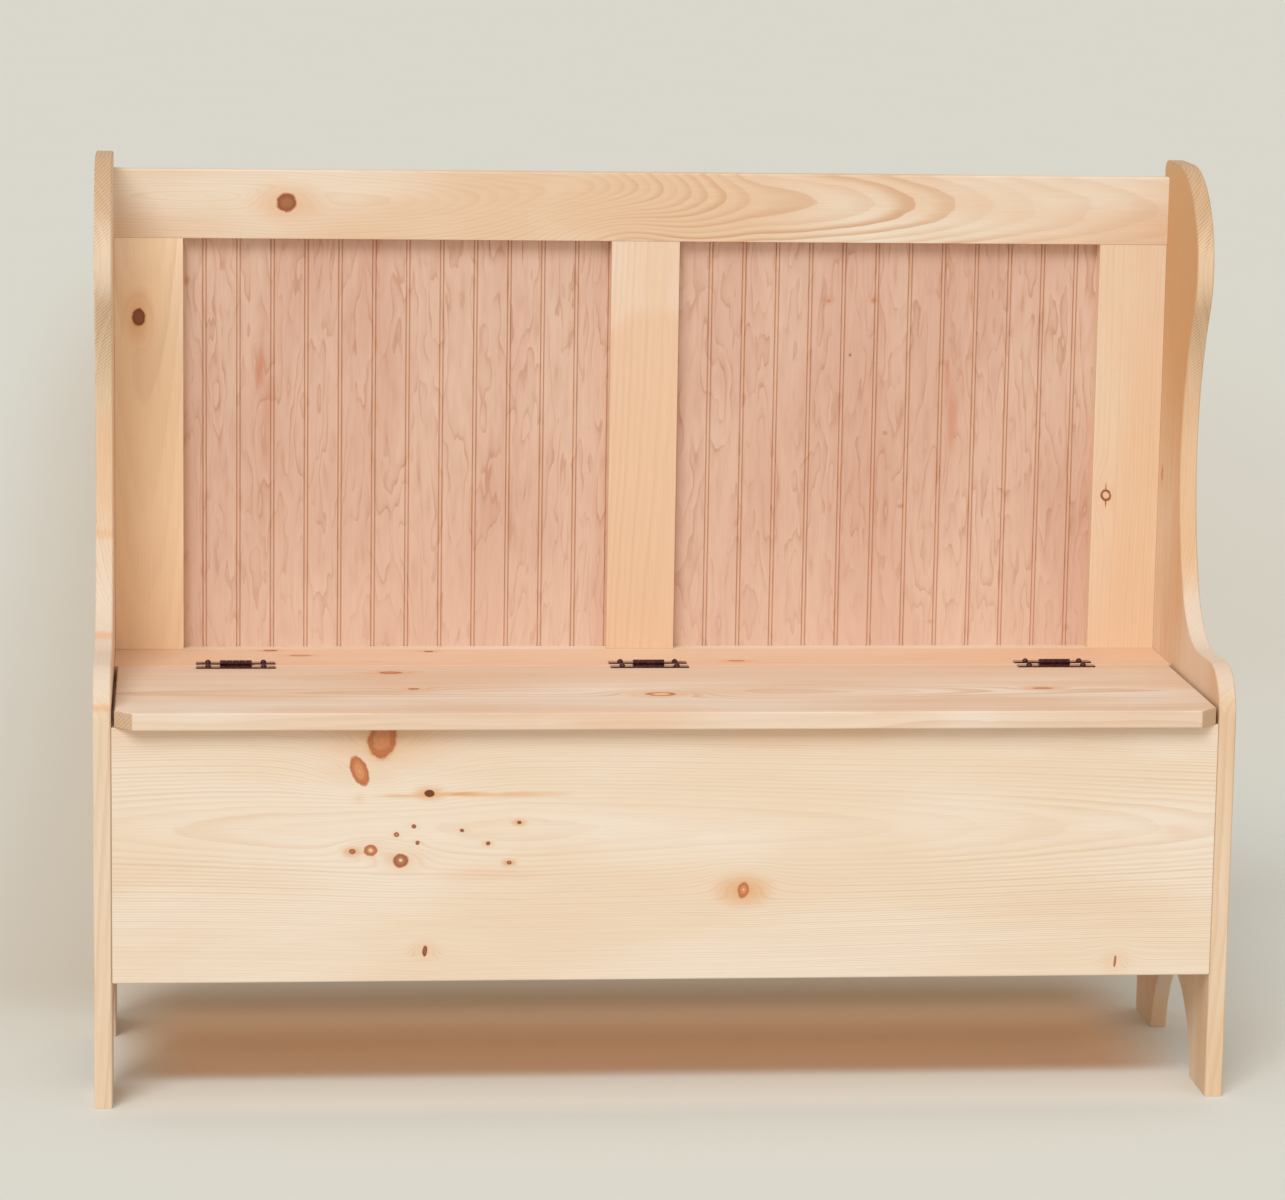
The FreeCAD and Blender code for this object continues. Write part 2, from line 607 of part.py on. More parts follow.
def draw_knuckle(sketch, foot_end):
    """A knuckle's side view: the leaf's plate runs in at the bottom and curls round the pin."""
    radius, thickness, reach = value("barrel_radius"), value("leaf_thickness"), value(foot_end)
    point = FreeCAD.Vector
    root = point(math.sqrt(radius ** 2 - (radius - thickness) ** 2), thickness - radius, 0)
    bottom = point(0, -radius, 0)
    lower, upper = point(reach, -radius, 0), point(reach, thickness - radius, 0)
    curl = sketch.addGeometry(arc(point(0, 0, 0), radius, root, bottom), False)
    under = sketch.addGeometry(Part.LineSegment(bottom, lower), False)
    end = sketch.addGeometry(Part.LineSegment(lower, upper), False)
    over = sketch.addGeometry(Part.LineSegment(upper, root), False)
    for one, other in ((under, end), (end, over)):
        sketch.addConstraint(Sketcher.Constraint("Coincident", one, 2, other, 1))
    sketch.addConstraint(Sketcher.Constraint("Coincident", over, 2, curl, 1))
    sketch.addConstraint(Sketcher.Constraint("Coincident", curl, 2, under, 1))
    sketch.addConstraint(Sketcher.Constraint("Coincident", curl, 3, -1, 1))
    sketch.addConstraint(Sketcher.Constraint("Horizontal", under))
    sketch.addConstraint(Sketcher.Constraint("Vertical", end))
    sketch.addConstraint(Sketcher.Constraint("Horizontal", over))
    sketch.addConstraint(Sketcher.Constraint("PointOnObject", under, 1, -2))
    dimension(sketch, "Radius", curl, "barrel_radius")
    dimension(sketch, "DistanceX", -1, 1, end, 1, foot_end)
    dimension(sketch, "DistanceY", end, 1, end, 2, "leaf_thickness")


def hinge_pin(label, x):
    """A pin that fills the barrel from end to end."""
    body = new_body(label)
    section = new_sketch(body, label + "_section", "YZ_Plane")
    draw_circles(section, [("0", "0")], "(2 * pin_radius)")
    pad(body, section, "barrel_length", label + "_rod", symmetric=True)
    place(body, x, PIN_Y, PIN_Z)
    return body


def frame_tenons():
    """Upright loose tenons, one in each end of each stile."""
    body = new_body("frame_tenons")
    body.AllowCompound = True
    for level, height in (("lower", "seat_height"), ("upper", "(seat_height + %s)" % STILE_LENGTH)):
        section = new_sketch(body, "frame_tenons_" + level, "XY_Plane", height)
        draw_tenons(section, "XY_Plane", [(x, FRAME_MIDDLE) for x in STILE_CENTRES.values()])
        pad(body, section, "stile_tenon_length", "frame_tenons_%s_pieces" % level, symmetric=True)
    place(body)


def side_tenons():
    """Level loose tenons between the end panels and the boards that meet them."""
    body = new_body("side_tenons")
    body.AllowCompound = True
    for end, start, rightward in (("left", "(%s - side_tenon_in_side)" % INNER_LEFT, False),
                                  ("right", "(side_tenon_in_side - %s)" % INNER_LEFT, True)):
        section = new_sketch(body, "side_tenons_" + end, "YZ_Plane", start)
        draw_tenons(section, "YZ_Plane", side_tenon_centres())
        pad(body, section, "side_tenon_length", "side_tenons_%s_pieces" % end, reversed_side=rightward)
    place(body)


def build_sides_and_back():
    side_panel("side_panel_left", True)
    side_panel("side_panel_right", False)
    top_rail = back_rail("back_top_rail", [("edge_easing", [("y0", "z1"), ("y1", "z1")]),
                                           ("joint_easing", [("y0", "z0")])])
    stile_mortises(top_rail, "0", True)
    seat_rail = back_rail("back_seat_rail", [("joint_easing", [("y0", "z1")])])
    stile_mortises(seat_rail, "rail_width", False)
    back_rail("back_bottom_rail", [("edge_easing", [("y0", "z0"), ("y1", "z0")])])
    for name in STILE_CENTRES:
        back_stile(name)
    beadboard("beadboard_panel_left", -1)
    beadboard("beadboard_panel_right", 1)
    frame_tenons()
    side_tenons()


def build_chest():
    front_panel()
    board("chest_back_panel", "(%s - sheet_gap)" % INNER_WIDTH, "sheet_thickness",
          "(%s - sheet_gap - chest_bottom)" % SHEET_JOINT,
          ("(%s + sheet_gap / 2)" % INNER_LEFT, FRAME_BACK, "chest_bottom"))
    board("chest_floor", "(%s - 2 * floor_gap)" % INNER_WIDTH,
          "(%s - board_thickness - 2 * floor_gap)" % FRAME_FACE, "floor_thickness",
          ("(%s + floor_gap)" % INNER_LEFT, "(board_thickness + floor_gap)", CLEAT_TOP))
    floor_cleat_bottom = "(%s - cleat_size)" % CLEAT_TOP
    seat_cleat_bottom = "(%s - cleat_size)" % SEAT_UNDERSIDE
    cleat_back = "(%s - cleat_size)" % FRAME_FACE
    board("floor_cleat_front", INNER_WIDTH, "cleat_size", "cleat_size",
          (INNER_LEFT, "board_thickness", floor_cleat_bottom))
    board("floor_cleat_rear", INNER_WIDTH, "cleat_size", "cleat_size",
          (INNER_LEFT, cleat_back, floor_cleat_bottom))
    board("seat_cleat_rear", "(%s - 2 * cleat_size)" % INNER_WIDTH, "cleat_size", "cleat_size",
          ("(%s + cleat_size)" % INNER_LEFT, cleat_back, seat_cleat_bottom))
    floor_ends = ("(board_thickness + cleat_size)", cleat_back)
    seat_ends = ("board_thickness", FRAME_FACE)
    for name, left_end in (("left", True), ("right", False)):
        end_cleat("floor_cleat_" + name, left_end, floor_ends, floor_cleat_bottom)
        end_cleat("seat_cleat_" + name, left_end, seat_ends, seat_cleat_bottom)


def build_seat_and_hinges():
    seat_strip()
    seat_lid()
    lid_batten("left", -1)
    lid_batten("right", 1)
    for name, x in hinge_places().items():
        hinge_leaf("hinge_fixed_leaf_" + name, x, False)
        hinge_leaf("hinge_lid_leaf_" + name, x, True)
        hinge_pin("hinge_pin_" + name, x)


def bodies():
    return [item for item in doc.Objects if item.TypeId == "PartDesign::Body"]


def check_document():
    """Every object has to be up to date and every body a valid shape."""
    for item in doc.Objects:
        if "Invalid" in item.State or "Error" in item.State:
            raise RuntimeError("%s is %s" % (item.Label, item.State))
    for body in bodies():
        if body.Shape.isNull() or not body.Shape.isValid():
            raise RuntimeError("%s has no valid shape" % body.Label)


build_sides_and_back()
build_chest()
build_seat_and_hinges()
doc.recompute()
check_document()
os.makedirs("parts", exist_ok=True)
for body in bodies():
    body.Shape.exportStep("parts/%s.step" % body.Label)
    print("%-26s %2d solid(s) %12.1f mm3" % (body.Label, len(body.Shape.Solids), body.Shape.Volume))
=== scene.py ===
"""Looks of a pine storage bench with a beaded back: boards, hinges, screws, floor, light and camera.

Metres. X runs along the bench, Y to its back and Z up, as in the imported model.
"""
import functools
import math

import bpy
from mathutils import Matrix, Vector


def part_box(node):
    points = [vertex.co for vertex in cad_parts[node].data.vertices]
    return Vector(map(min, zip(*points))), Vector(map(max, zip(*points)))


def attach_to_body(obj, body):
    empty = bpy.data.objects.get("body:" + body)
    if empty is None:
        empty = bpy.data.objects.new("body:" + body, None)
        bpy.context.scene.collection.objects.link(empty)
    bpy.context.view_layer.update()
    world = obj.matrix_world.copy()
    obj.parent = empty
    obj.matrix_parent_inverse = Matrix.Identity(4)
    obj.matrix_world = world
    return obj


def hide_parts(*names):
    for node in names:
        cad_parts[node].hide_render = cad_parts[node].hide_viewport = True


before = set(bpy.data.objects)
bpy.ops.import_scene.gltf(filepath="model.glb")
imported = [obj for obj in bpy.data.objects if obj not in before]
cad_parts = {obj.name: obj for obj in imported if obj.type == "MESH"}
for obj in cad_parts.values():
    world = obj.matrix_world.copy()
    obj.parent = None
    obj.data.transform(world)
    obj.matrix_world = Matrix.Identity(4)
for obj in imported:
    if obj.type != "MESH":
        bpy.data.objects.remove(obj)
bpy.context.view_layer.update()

# The photograph's view, fitted to the bench's corners
CAMERA_PLACE = (-0.5168, -5.0818, 1.3842)
CAMERA_YAW = math.radians(5.801)
CAMERA_PITCH = math.radians(-10.280)
CAMERA_ROLL = math.radians(0.946)
CAMERA_LENS = 132.67
CAMERA_SENSOR = 36.0
CAMERA_SHIFT = (-0.0096, 0.0420)
CAMERA_REACH = 100.0

# The softbox stands off to the front left; its light is even over the bench, as from far away
SUN_AZIMUTH = math.radians(-23.0)
SUN_ELEVATION = math.radians(40.0)
SUN_SIZE = math.radians(30.0)
SUN_STRENGTH = 1.50
SUN_COLOUR = (0.94, 0.98, 1.0)
SUN_DISTANCE = 4.6

# The studio's own light, a little stronger from the front than from behind the bench
SKY_FRONT = 0.76
SKY_BEHIND = 0.60
SKY_FADE = (-0.9, 0.7)
SKY_COLOUR = (1.0, 0.93, 0.84, 1.0)

FLOOR_SIZE = 60.0


class Field:
    """A value that varies over a surface; arithmetic on it adds Math nodes to its material."""

    def __init__(self, graph, socket):
        self.graph = graph
        self.socket = socket

    def math(self, operation, *others):
        inputs = {index: other for index, other in enumerate((self,) + others)}
        return self.graph.node("Math", {"operation": operation}, inputs)

    def reflected(self, operation, other):
        return self.graph.node("Math", {"operation": operation}, {0: other, 1: self})

    def __add__(self, other):
        return self.math("ADD", other)

    __radd__ = __add__

    def __sub__(self, other):
        return self.math("SUBTRACT", other)

    def __rsub__(self, other):
        return self.reflected("SUBTRACT", other)

    def __mul__(self, other):
        return self.math("MULTIPLY", other)

    __rmul__ = __mul__

    def __truediv__(self, other):
        return self.math("DIVIDE", other)

    def __rtruediv__(self, other):
        return self.reflected("DIVIDE", other)

    def __pow__(self, other):
        return self.math("POWER", other)

    def fract(self):
        return self.math("FRACT")

    def floor(self):
        return self.math("FLOOR")

    def sqrt(self):
        return self.math("SQRT")

    def abs(self):
        return self.math("ABSOLUTE")

    def least(self, other):
        return self.math("MINIMUM", other)

    def most(self, other):
        return self.math("MAXIMUM", other)

    def rise(self, low, high):
        """0 below low, 1 above high, smooth between; from 1 to 0 where low is the larger."""
        ends = (low, high, 0.0, 1.0) if low < high else (high, low, 1.0, 0.0)
        inputs = dict(zip(("From Min", "From Max", "To Min", "To Max"), ends))
        return self.graph.node("MapRange", {"interpolation_type": "SMOOTHSTEP"}, {"Value": self, **inputs})


class Graph:
    """The node tree of one material."""

    def __init__(self, name):
        self.material = bpy.data.materials.new(name)
        self.material.use_nodes = True
        self.tree = self.material.node_tree
        self.tree.nodes.clear()
        self.place = self.node("TexCoord", {}, {}, "Object")
        self.facing = self.node("TexCoord", {}, {}, "Normal")

    def node(self, kind, settings, inputs, output=0):
        """A node of a kind: its settings first, then the values or links of its sockets."""
        made = self.tree.nodes.new("ShaderNode" + kind)
        for name, setting in settings.items():
            setattr(made, name, setting)
        for key, value in inputs.items():
            if isinstance(value, Field):
                self.tree.links.new(value.socket, made.inputs[key])
            else:
                made.inputs[key].default_value = value
        return Field(self, made.outputs[output]) if made.outputs else None

    def part(self, vector, axis):
        return self.node("SeparateXYZ", {}, {0: vector}, axis)

    def vector(self, x, y, z):
        return self.node("CombineXYZ", {}, {0: x, 1: y, 2: z})

    def coordinates(self):
        """The X, Y and Z of each point of the bench."""
        return [self.part(self.place, axis) for axis in range(3)]

    def squareness(self, axis):
        """1 where the surface looks straight along an axis, either way, and 0 where it runs along it."""
        return self.part(self.facing, axis).abs()

    def noise(self, vector, detail=2.0, roughness=0.5, output="Fac"):
        return self.node("TexNoise", {"noise_dimensions": "3D"},
                         {"Vector": vector, "Scale": 1.0, "Detail": detail, "Roughness": roughness}, output)

    def hashed(self, value):
        """A level from about 0.25 to 0.75 for each value, smooth between them."""
        return self.node("TexNoise", {"noise_dimensions": "1D"}, {"W": value, "Scale": 1.0, "Detail": 1.0})

    def oval(self, flat, centre, reach, turn=0.0):
        """How far a point of a flat pattern lies from the centre of a turned oval, 1 on its outline."""
        local = self.node("Mapping", {"vector_type": "TEXTURE"},
                          {"Vector": flat, "Location": (*centre, 0.0), "Rotation": (0.0, 0.0, turn),
                           "Scale": (*reach, 1.0)})
        return self.node("VectorMath", {"operation": "LENGTH"}, {0: local}, "Value")

    def mix(self, factor, first, second):
        """A colour between two, by a factor from 0 to 1."""
        return self.node("Mix", {"data_type": "RGBA"}, {0: factor, 6: first, 7: second}, 2)

    def scaled(self, colour, factor):
        return self.node("VectorMath", {"operation": "SCALE"}, {0: colour, "Scale": factor})

    def finish(self, colour, roughness, height=None, bump=0.5, **constants):
        """Puts the surface together. The height is in metres."""
        inputs = {"Base Color": colour, "Roughness": roughness}
        inputs.update({name.replace("_", " "): value for name, value in constants.items()})
        if height is not None:
            inputs["Normal"] = self.node("Bump", {}, {"Strength": bump, "Distance": 1.0, "Height": height})
        surface = self.node("BsdfPrincipled", {}, inputs)
        self.node("OutputMaterial", {}, {"Surface": surface})
        return self.material


def tone(red, green, blue):
    """A colour given by its display values from 0 to 255."""
    def linear(level):
        level = level / 255
        return level / 12.92 if level <= 0.04045 else ((level + 0.055) / 1.055) ** 2.4
    return (linear(red), linear(green), linear(blue), 1.0)


AXES = {"X": 0, "Y": 1, "Z": 2}

# Bare pine: the pale early wood, its warmer patches, the late wood of the rings, end grain and knots
PALE_PINE = tone(238, 223, 206)
WARM_PINE = tone(235, 212, 188)
LATE_PINE = tone(214, 174, 132)
END_PINE = tone(204, 168, 132)
# Painted light: paler end grain where the end panels' shoulders face the lamp
END_PINE_PAINTED_LIGHT = tone(226, 211, 197)
SAW_MARK = tone(158, 122, 84)
KNOT_FLESH = tone(216, 146, 96)
KNOT_RING = tone(184, 102, 56)
KNOT_DARK = tone(98, 42, 18)
KNOT_HEART = tone(236, 200, 164)
# The knots' glow, also the colour of the painted shade under the lid
KNOT_GLOW_AND_PAINTED_SHADE = tone(224, 164, 108)

# Waves per metre of the pine's unevenness, (along, across) the grain
DRIFT_WAVES = (1.7, 5.0)
BLOTCH_WAVES = (2.4, 9.0)
SHIVER_WAVES = (16.0, 55.0)
FIBRE_WAVES = (14.0, 620.0)
DASH_WAVES = (40.0, 1500.0)
KNOT_RIM_WAVES = 130.0

RING_RADIUS = 0.1
SAW_PITCH = 0.0044
SAW_SLANT = 1.1
# How far the painted light on the end grain fades out along the grain
END_LIGHT_PAINT_FADE = 0.06
FIBRE_SHADE = 0.14
FIBRE_RELIEF = 0.00005
RING_RELIEF = 0.00003
BARE_ROUGHNESS = 0.62
BARE_SPECULAR = 0.32


def pine(name, grain, face, middle, seed, pith=(0.0, 0.08), slope=(0.0, 0.0), lens=(0.0, 0.0), steps=(),
         ring=0.0026, taper=1.2, wander=0.020, late=0.4, edges=0.25, calm=0.65, bold=None, mottle=1.0,
         looks=0, painted_end_light=None, tones=(PALE_PINE, WARM_PINE, LATE_PINE), knots=(), swirls=(), patches=(),
         resin_and_painted_shade=()):
    """Bare pine sawn from a log, with growth rings about a pith that runs near or through the board.

    The grain and face axes run along and across the board. The pith's place is given at the board's middle,
    across the face and through the thickness; slope is how it leans per metre along the grain, lens how it
    bends away from a point of the grain, (per metre, point), and each step is (from, to, how far) it moves.
    Rings are `ring` apart at RING_RADIUS from the pith, and closer further out where taper is over 1.
    The tones are those of the pale wood, the warmer wood and the late wood; mottle is how much of the warmer
    wood shows. Each knot is (along, across, half length, half width, turn in degrees, darkness, rim, glow,
    share of its pale heart). Each patch is (along, across, half length, half width, strength, clear share)
    of warmer wood, which is painted shade where a patch is laid on a shaded face; each stain is the same, of
    resin, and of painted shade where a stain is laid under an overhang; and each swirl, (along, across, half
    length, half width, strength), is a knot below the face that only bends the rings. The rings are bold
    about a point of the grain, (point, half length), and faint elsewhere; they show by `late` on the faces
    and by
    `edges` more on the edges, and calm is how far they fade by the pith. Where looks is 1 or -1, the patches
    stay off the face that looks the other way through the board. The cut ends are darker and show slanting
    saw marks; as painted light where they face the lamp, they are painted paler below the first of two points
    along the grain, (point, point), and keep their full darkness above the second.
    """
    graph = Graph(name)
    along, across = AXES[grain], AXES[face]
    through = 3 - along - across
    place = graph.coordinates()
    u, v, w = (place[axis] - middle[axis] for axis in (along, across, through))

    def grained(waves, detail, roughness=0.5, output="Fac"):
        """Noise that is drawn out along the grain."""
        spot = graph.vector(u * waves[0] + seed, v * waves[1], w * waves[1])
        return graph.noise(spot, detail, roughness, output)

    def nearness(distance):
        """1 at a knot's centre and 1/2 on its outline, falling off fast outside."""
        return 1.0 / (1.0 + distance ** 3.0)

    drift = grained(DRIFT_WAVES, 1.0, output="Color")
    shiver = grained(SHIVER_WAVES, 2.0) - 0.5
    flat = graph.vector(u + shiver * 0.003, v + shiver * 0.003, 0.0)

    # Knots push the rings aside, and the rings close round them
    pushes, bulges, masks, darks, rims, glows, cores, hearts = ([] for _ in range(8))
    if knots:
        rim_spot = graph.vector(u * KNOT_RIM_WAVES + seed, v * KNOT_RIM_WAVES, 0.0)
        ragged = (graph.noise(rim_spot, 2.0, 0.6) - 0.5) * 0.42
    for at_u, at_v, long, wide, turn, darkness, outline, shine, hollow in knots:
        reach = graph.oval(flat, (at_u, at_v), (long, wide), math.radians(turn)) + ragged
        around = graph.oval(flat, (at_u, at_v), (long * 1.2 + wide * 2.4, wide * 1.9))
        bend = nearness(around)
        inside = reach.rise(1.05, 0.90)
        pushes.append((v - at_v) * bend)
        bulges.append(bend * (wide * 1.5))
        masks.append(inside)
        darks.append(inside * darkness)
        rims.append(reach.rise(0.72, 0.96) * reach.rise(1.20, 1.0) * outline)
        glows.append(around.rise(1.6, 0.3) * shine)
        cores.append(inside * reach)
        hearts.append(reach.rise(hollow * 1.25 + 0.01, hollow * 0.6))
    for at_u, at_v, long, wide, strength in swirls:
        bend = nearness(graph.oval(flat, (at_u, at_v), (long, wide)))
        pushes.append((v - at_v) * bend * 0.8)
        bulges.append(bend * strength)

    # Where the pith runs, and how far each point lies from it, counted in years
    across_pith = v - (u * slope[0] + pith[0]) + (graph.part(drift, 0) - 0.5) * wander
    through_pith = w - (u * slope[1] + pith[1]) + (graph.part(drift, 1) - 0.5) * wander
    if lens[0]:
        through_pith = through_pith - (u - lens[1]).abs() * lens[0]
    for low, high, height in steps:
        through_pith = through_pith - u.rise(low, high) * height
    if pushes:
        across_pith = across_pith - sum(pushes)
    radius = (across_pith ** 2.0 + through_pith ** 2.0).sqrt()
    if bulges:
        radius = radius + sum(bulges)
    years = ((radius / RING_RADIUS) ** taper) * (RING_RADIUS / ring / taper) + shiver * 0.5

    # Late wood darkens slowly towards the end of each year and stops at once; some years are stronger
    vigour = graph.hashed(years.floor() * 0.83 + seed).rise(0.32, 0.68)
    growth = years.fract()
    cloudy = graph.part(drift, 2).rise(0.36, 0.60) * 0.5 + 0.5
    quiet = cloudy * (across_pith.abs() / radius * calm + (1.0 - calm))
    if bold:
        quiet = quiet * (((u - bold[0]).abs() / bold[1]).rise(1.3, 0.6) * 0.65 + 0.35)
    rings = growth.rise(0.25, 0.9) * growth.rise(1.0, 0.93) * (vigour * 0.65 + 0.35) * quiet

    fibre = grained(FIBRE_WAVES, 2.0, 0.6) - 0.5
    dashes = grained(DASH_WAVES, 1.0).rise(0.66, 0.74)
    blotch = grained(BLOTCH_WAVES, 2.0, 0.55).rise(0.32, 0.68) * mottle

    # The cut ends, the edges, and the saw marks across the cut ends
    end = graph.squareness(along).rise(0.20, 0.68)
    edge = graph.squareness(through).rise(0.8, 0.3)
    saw = ((w - u * SAW_SLANT + shiver * 0.004) / SAW_PITCH).fract()
    saw = saw.rise(0.25, 0.75) * saw.rise(1.0, 0.85) * (vigour * 0.6 + 0.4)
    sawn = graph.squareness(along).rise(0.04, 0.38) * 0.45
    # Painted light: the end grain is paler below the first point, where it faces the lamp, and fully dark
    # above the second
    if painted_end_light:
        end_light_paint_mask = end * u.rise(painted_end_light[0] + END_LIGHT_PAINT_FADE, painted_end_light[0])
        end_dark_share = u.rise(painted_end_light[0], painted_end_light[1])
        end = end * (end_dark_share * 0.92 + 0.08)
        sawn = sawn * (end_dark_share * 0.85 + 0.15)

    if patches:
        shown = (graph.part(graph.facing, through) * looks).rise(-0.9, -0.2) if looks else 1.0
    # Warmer patches of wood; a patch laid on a shaded face is painted shade
    for at_u, at_v, long, wide, strength, clear in patches:
        spot = graph.oval(flat, (at_u, at_v), (long, wide)).rise(1.0, clear) * strength
        blotch = blotch.most(spot * shown - edge * 0.6)

    pale, warm, deep = tones
    colour = graph.mix(blotch, pale, warm)
    colour = graph.mix((rings * (edge * edges + end * 0.35 + late)).least(1.0), colour, deep)
    # Painted light on the end grain that faces the lamp
    if painted_end_light:
        colour = graph.mix(end_light_paint_mask * 0.60, colour, END_PINE_PAINTED_LIGHT)
    colour = graph.mix(end * 0.80, colour, END_PINE)
    colour = graph.mix(saw * sawn, colour, SAW_MARK)
    colour = graph.mix(dashes * 0.16, colour, deep)
    # Resin stains, and painted shade where a stain is laid under an overhang
    for at_u, at_v, long, wide, strength, clear in resin_and_painted_shade:
        spot = graph.oval(flat, (at_u, at_v), (long, wide)) + shiver * 0.8
        colour = graph.mix(spot.rise(1.0, clear) * strength, colour, KNOT_GLOW_AND_PAINTED_SHADE)
    colour = graph.scaled(colour, fibre * FIBRE_SHADE + 1.0)
    roughness = BARE_ROUGHNESS - rings * 0.10

    if knots:
        mask, dark, rim, glow, heart = (functools.reduce(Field.most, found)
                                        for found in (masks, darks, rims, glows, hearts))
        core = sum(cores)
        colour = graph.mix(glow * 0.75, colour, KNOT_GLOW_AND_PAINTED_SHADE)
        depth = (core * 2.7).fract().rise(0.2, 0.9) * 0.22 + core.rise(0.30, 0.90) * 0.72
        wood = graph.mix(depth, KNOT_FLESH, KNOT_RING)
        wood = graph.mix(dark, wood, KNOT_DARK)
        colour = graph.mix(mask * 0.97, colour, wood)
        colour = graph.mix(rim * 0.8, colour, graph.mix(dark, KNOT_RING, KNOT_DARK))
        colour = graph.mix(heart, colour, KNOT_HEART)
        roughness = roughness - mask * 0.16
    relief = fibre * FIBRE_RELIEF - rings * RING_RELIEF
    return graph.finish(colour, roughness, relief, 0.6, Specular_IOR_Level=BARE_SPECULAR)


# The beaded panels: where the grooves run, the veneer's colours and a painted light low down
BEAD_PITCH = 0.03775
BEAD_HALF_GAP = 0.00185
BEADED_FACE = 0.194825
PANEL_PLY = 0.0013
VENEER_PALE = tone(224, 190, 169)
VENEER_ROSE = tone(214, 172, 151)
VENEER_PAINTED_LIGHT = tone(236, 210, 192)
VENEER_FLAME = tone(182, 122, 90)
VENEER_EYE = tone(190, 110, 64)
VENEER_BLUSH = tone(206, 136, 108)
VENEER_CHECK = tone(150, 96, 62)
VENEER_ROUGHNESS = 0.56
VENEER_SPECULAR = 0.35
BEAD_GOLD = tone(228, 182, 144)
GROOVE_BROWN = tone(172, 114, 76)
PANEL_PLIES = (tone(196, 150, 104), tone(226, 192, 150))


def beaded_veneer(name, seed, marks):
    """Pinkish veneer with small flame marks; grooves show the brown of the cut, the bead between a gold.

    Each mark is (x, z, half width, half height, strength, colour).
    """
    graph = Graph(name)
    x, y, z = graph.coordinates()
    drift = graph.noise(graph.vector(x * 5.0 + seed, y, z * 1.3), 1.0) - 0.5
    field = graph.noise(graph.vector(x * 24.0 + drift * 2.0 + seed, 0.0, z * 5.0 + seed), 3.0, 0.5)
    lines = (field * 11.0).fract()
    flames = (lines.rise(0.20, 0.90) * 0.6 + lines.rise(0.72, 0.93) * 0.8) * lines.rise(1.0, 0.94)
    broken = graph.noise(graph.vector(x * 60.0, 0.0, z * 13.0 + seed), 2.0, 0.6).rise(0.30, 0.66)
    smears = graph.noise(graph.vector(x * 110.0 + seed, 0.0, z * 17.0), 3.0, 0.6).rise(0.40, 0.72)
    blotch = graph.noise(graph.vector(x * 9.0 + seed, y, z * 2.2), 2.0, 0.6).rise(0.30, 0.70)
    fibre = graph.noise(graph.vector(x * 900.0, y * 900.0, z * 16.0 + seed), 2.0, 0.6) - 0.5
    colour = graph.mix(blotch, VENEER_PALE, VENEER_ROSE)
    colour = graph.mix(flames * broken * 0.36 + smears * 0.13, colour, VENEER_FLAME)
    flat = graph.vector(x + drift * 0.01, z, 0.0)
    for at_x, at_z, wide, tall, strength, stain in marks:
        spot = graph.oval(flat, (at_x, at_z), (wide, tall)) + smears * 0.3
        colour = graph.mix(spot.rise(1.1, 0.2) * strength, colour, stain)
    # Painted light: the veneer paler towards the bottom, as from light thrown back by the lid
    colour = graph.mix(z.rise(0.62, 0.44) * 0.30, colour, VENEER_PAINTED_LIGHT)
    colour = graph.scaled(colour, fibre * FIBRE_SHADE + 1.0)

    offset = (((x / BEAD_PITCH + 0.5).fract() - 0.5) * BEAD_PITCH).abs()
    front = y.rise(BEADED_FACE + 0.0022, BEADED_FACE + 0.0018)
    groove = (offset - BEAD_HALF_GAP).abs().rise(0.0010, 0.0006) * front
    bead = offset.rise(BEAD_HALF_GAP, BEAD_HALF_GAP - 0.0005) * front
    colour = graph.mix(bead * 0.28, colour, BEAD_GOLD)
    colour = graph.mix(groove * 0.30, colour, GROOVE_BROWN)
    plies = (y / PANEL_PLY).fract().rise(0.35, 0.65)
    edge = graph.squareness(1).rise(0.6, 0.3)
    colour = graph.mix(edge * (1.0 - front * groove), colour, graph.mix(plies, *PANEL_PLIES))
    return graph.finish(colour, VENEER_ROUGHNESS + fibre * 0.1, fibre * 0.00004, 0.5,
                        Specular_IOR_Level=VENEER_SPECULAR)


# Plain plywood, the beech of the tenons and the hinges' enamel
PLYWOOD_PLY = 0.0016
PLYWOOD_PALE = tone(228, 199, 162)
PLYWOOD_WARM = tone(218, 184, 143)
PLYWOOD_FLAME = tone(196, 152, 106)
PLYWOOD_PLIES = (tone(186, 142, 98), tone(224, 190, 148))
BEECH_PALE = tone(226, 188, 148)
BEECH_FLECK = tone(188, 138, 96)
BEECH_ROUGHNESS = 0.58
ENAMEL_THICK = tone(44, 8, 10)
ENAMEL_THIN = tone(82, 32, 32)


def plywood(name, seed, thin):
    """Plain plywood with a broad figure on its faces and its plies along the edges; thin is its thin axis."""
    graph = Graph(name)
    x, y, z = graph.coordinates()
    across, depth = (z, y) if thin == "Y" else (y, z)
    field = graph.noise(graph.vector(x * 1.6 + seed, across * 13.0, 0.0), 2.0, 0.5)
    rings = (field * 14.0).fract()
    flames = rings.rise(0.45, 0.92) * rings.rise(1.0, 0.94)
    fibre = graph.noise(graph.vector(x * 16.0 + seed, across * 800.0, depth * 800.0), 2.0, 0.6) - 0.5
    blotch = graph.noise(graph.vector(x * 3.0, across * 8.0, seed), 2.0).rise(0.3, 0.7)
    colour = graph.mix(blotch, PLYWOOD_PALE, PLYWOOD_WARM)
    colour = graph.mix(flames * 0.5, colour, PLYWOOD_FLAME)
    plies = (depth / PLYWOOD_PLY).fract().rise(0.35, 0.65)
    edge = graph.squareness(AXES[thin]).rise(0.6, 0.3)
    colour = graph.mix(edge, colour, graph.mix(plies, *PLYWOOD_PLIES))
    colour = graph.scaled(colour, fibre * 0.16 + 1.0)
    return graph.finish(colour, BARE_ROUGHNESS + fibre * 0.1, fibre * FIBRE_RELIEF, 0.6,
                        Specular_IOR_Level=BARE_SPECULAR)


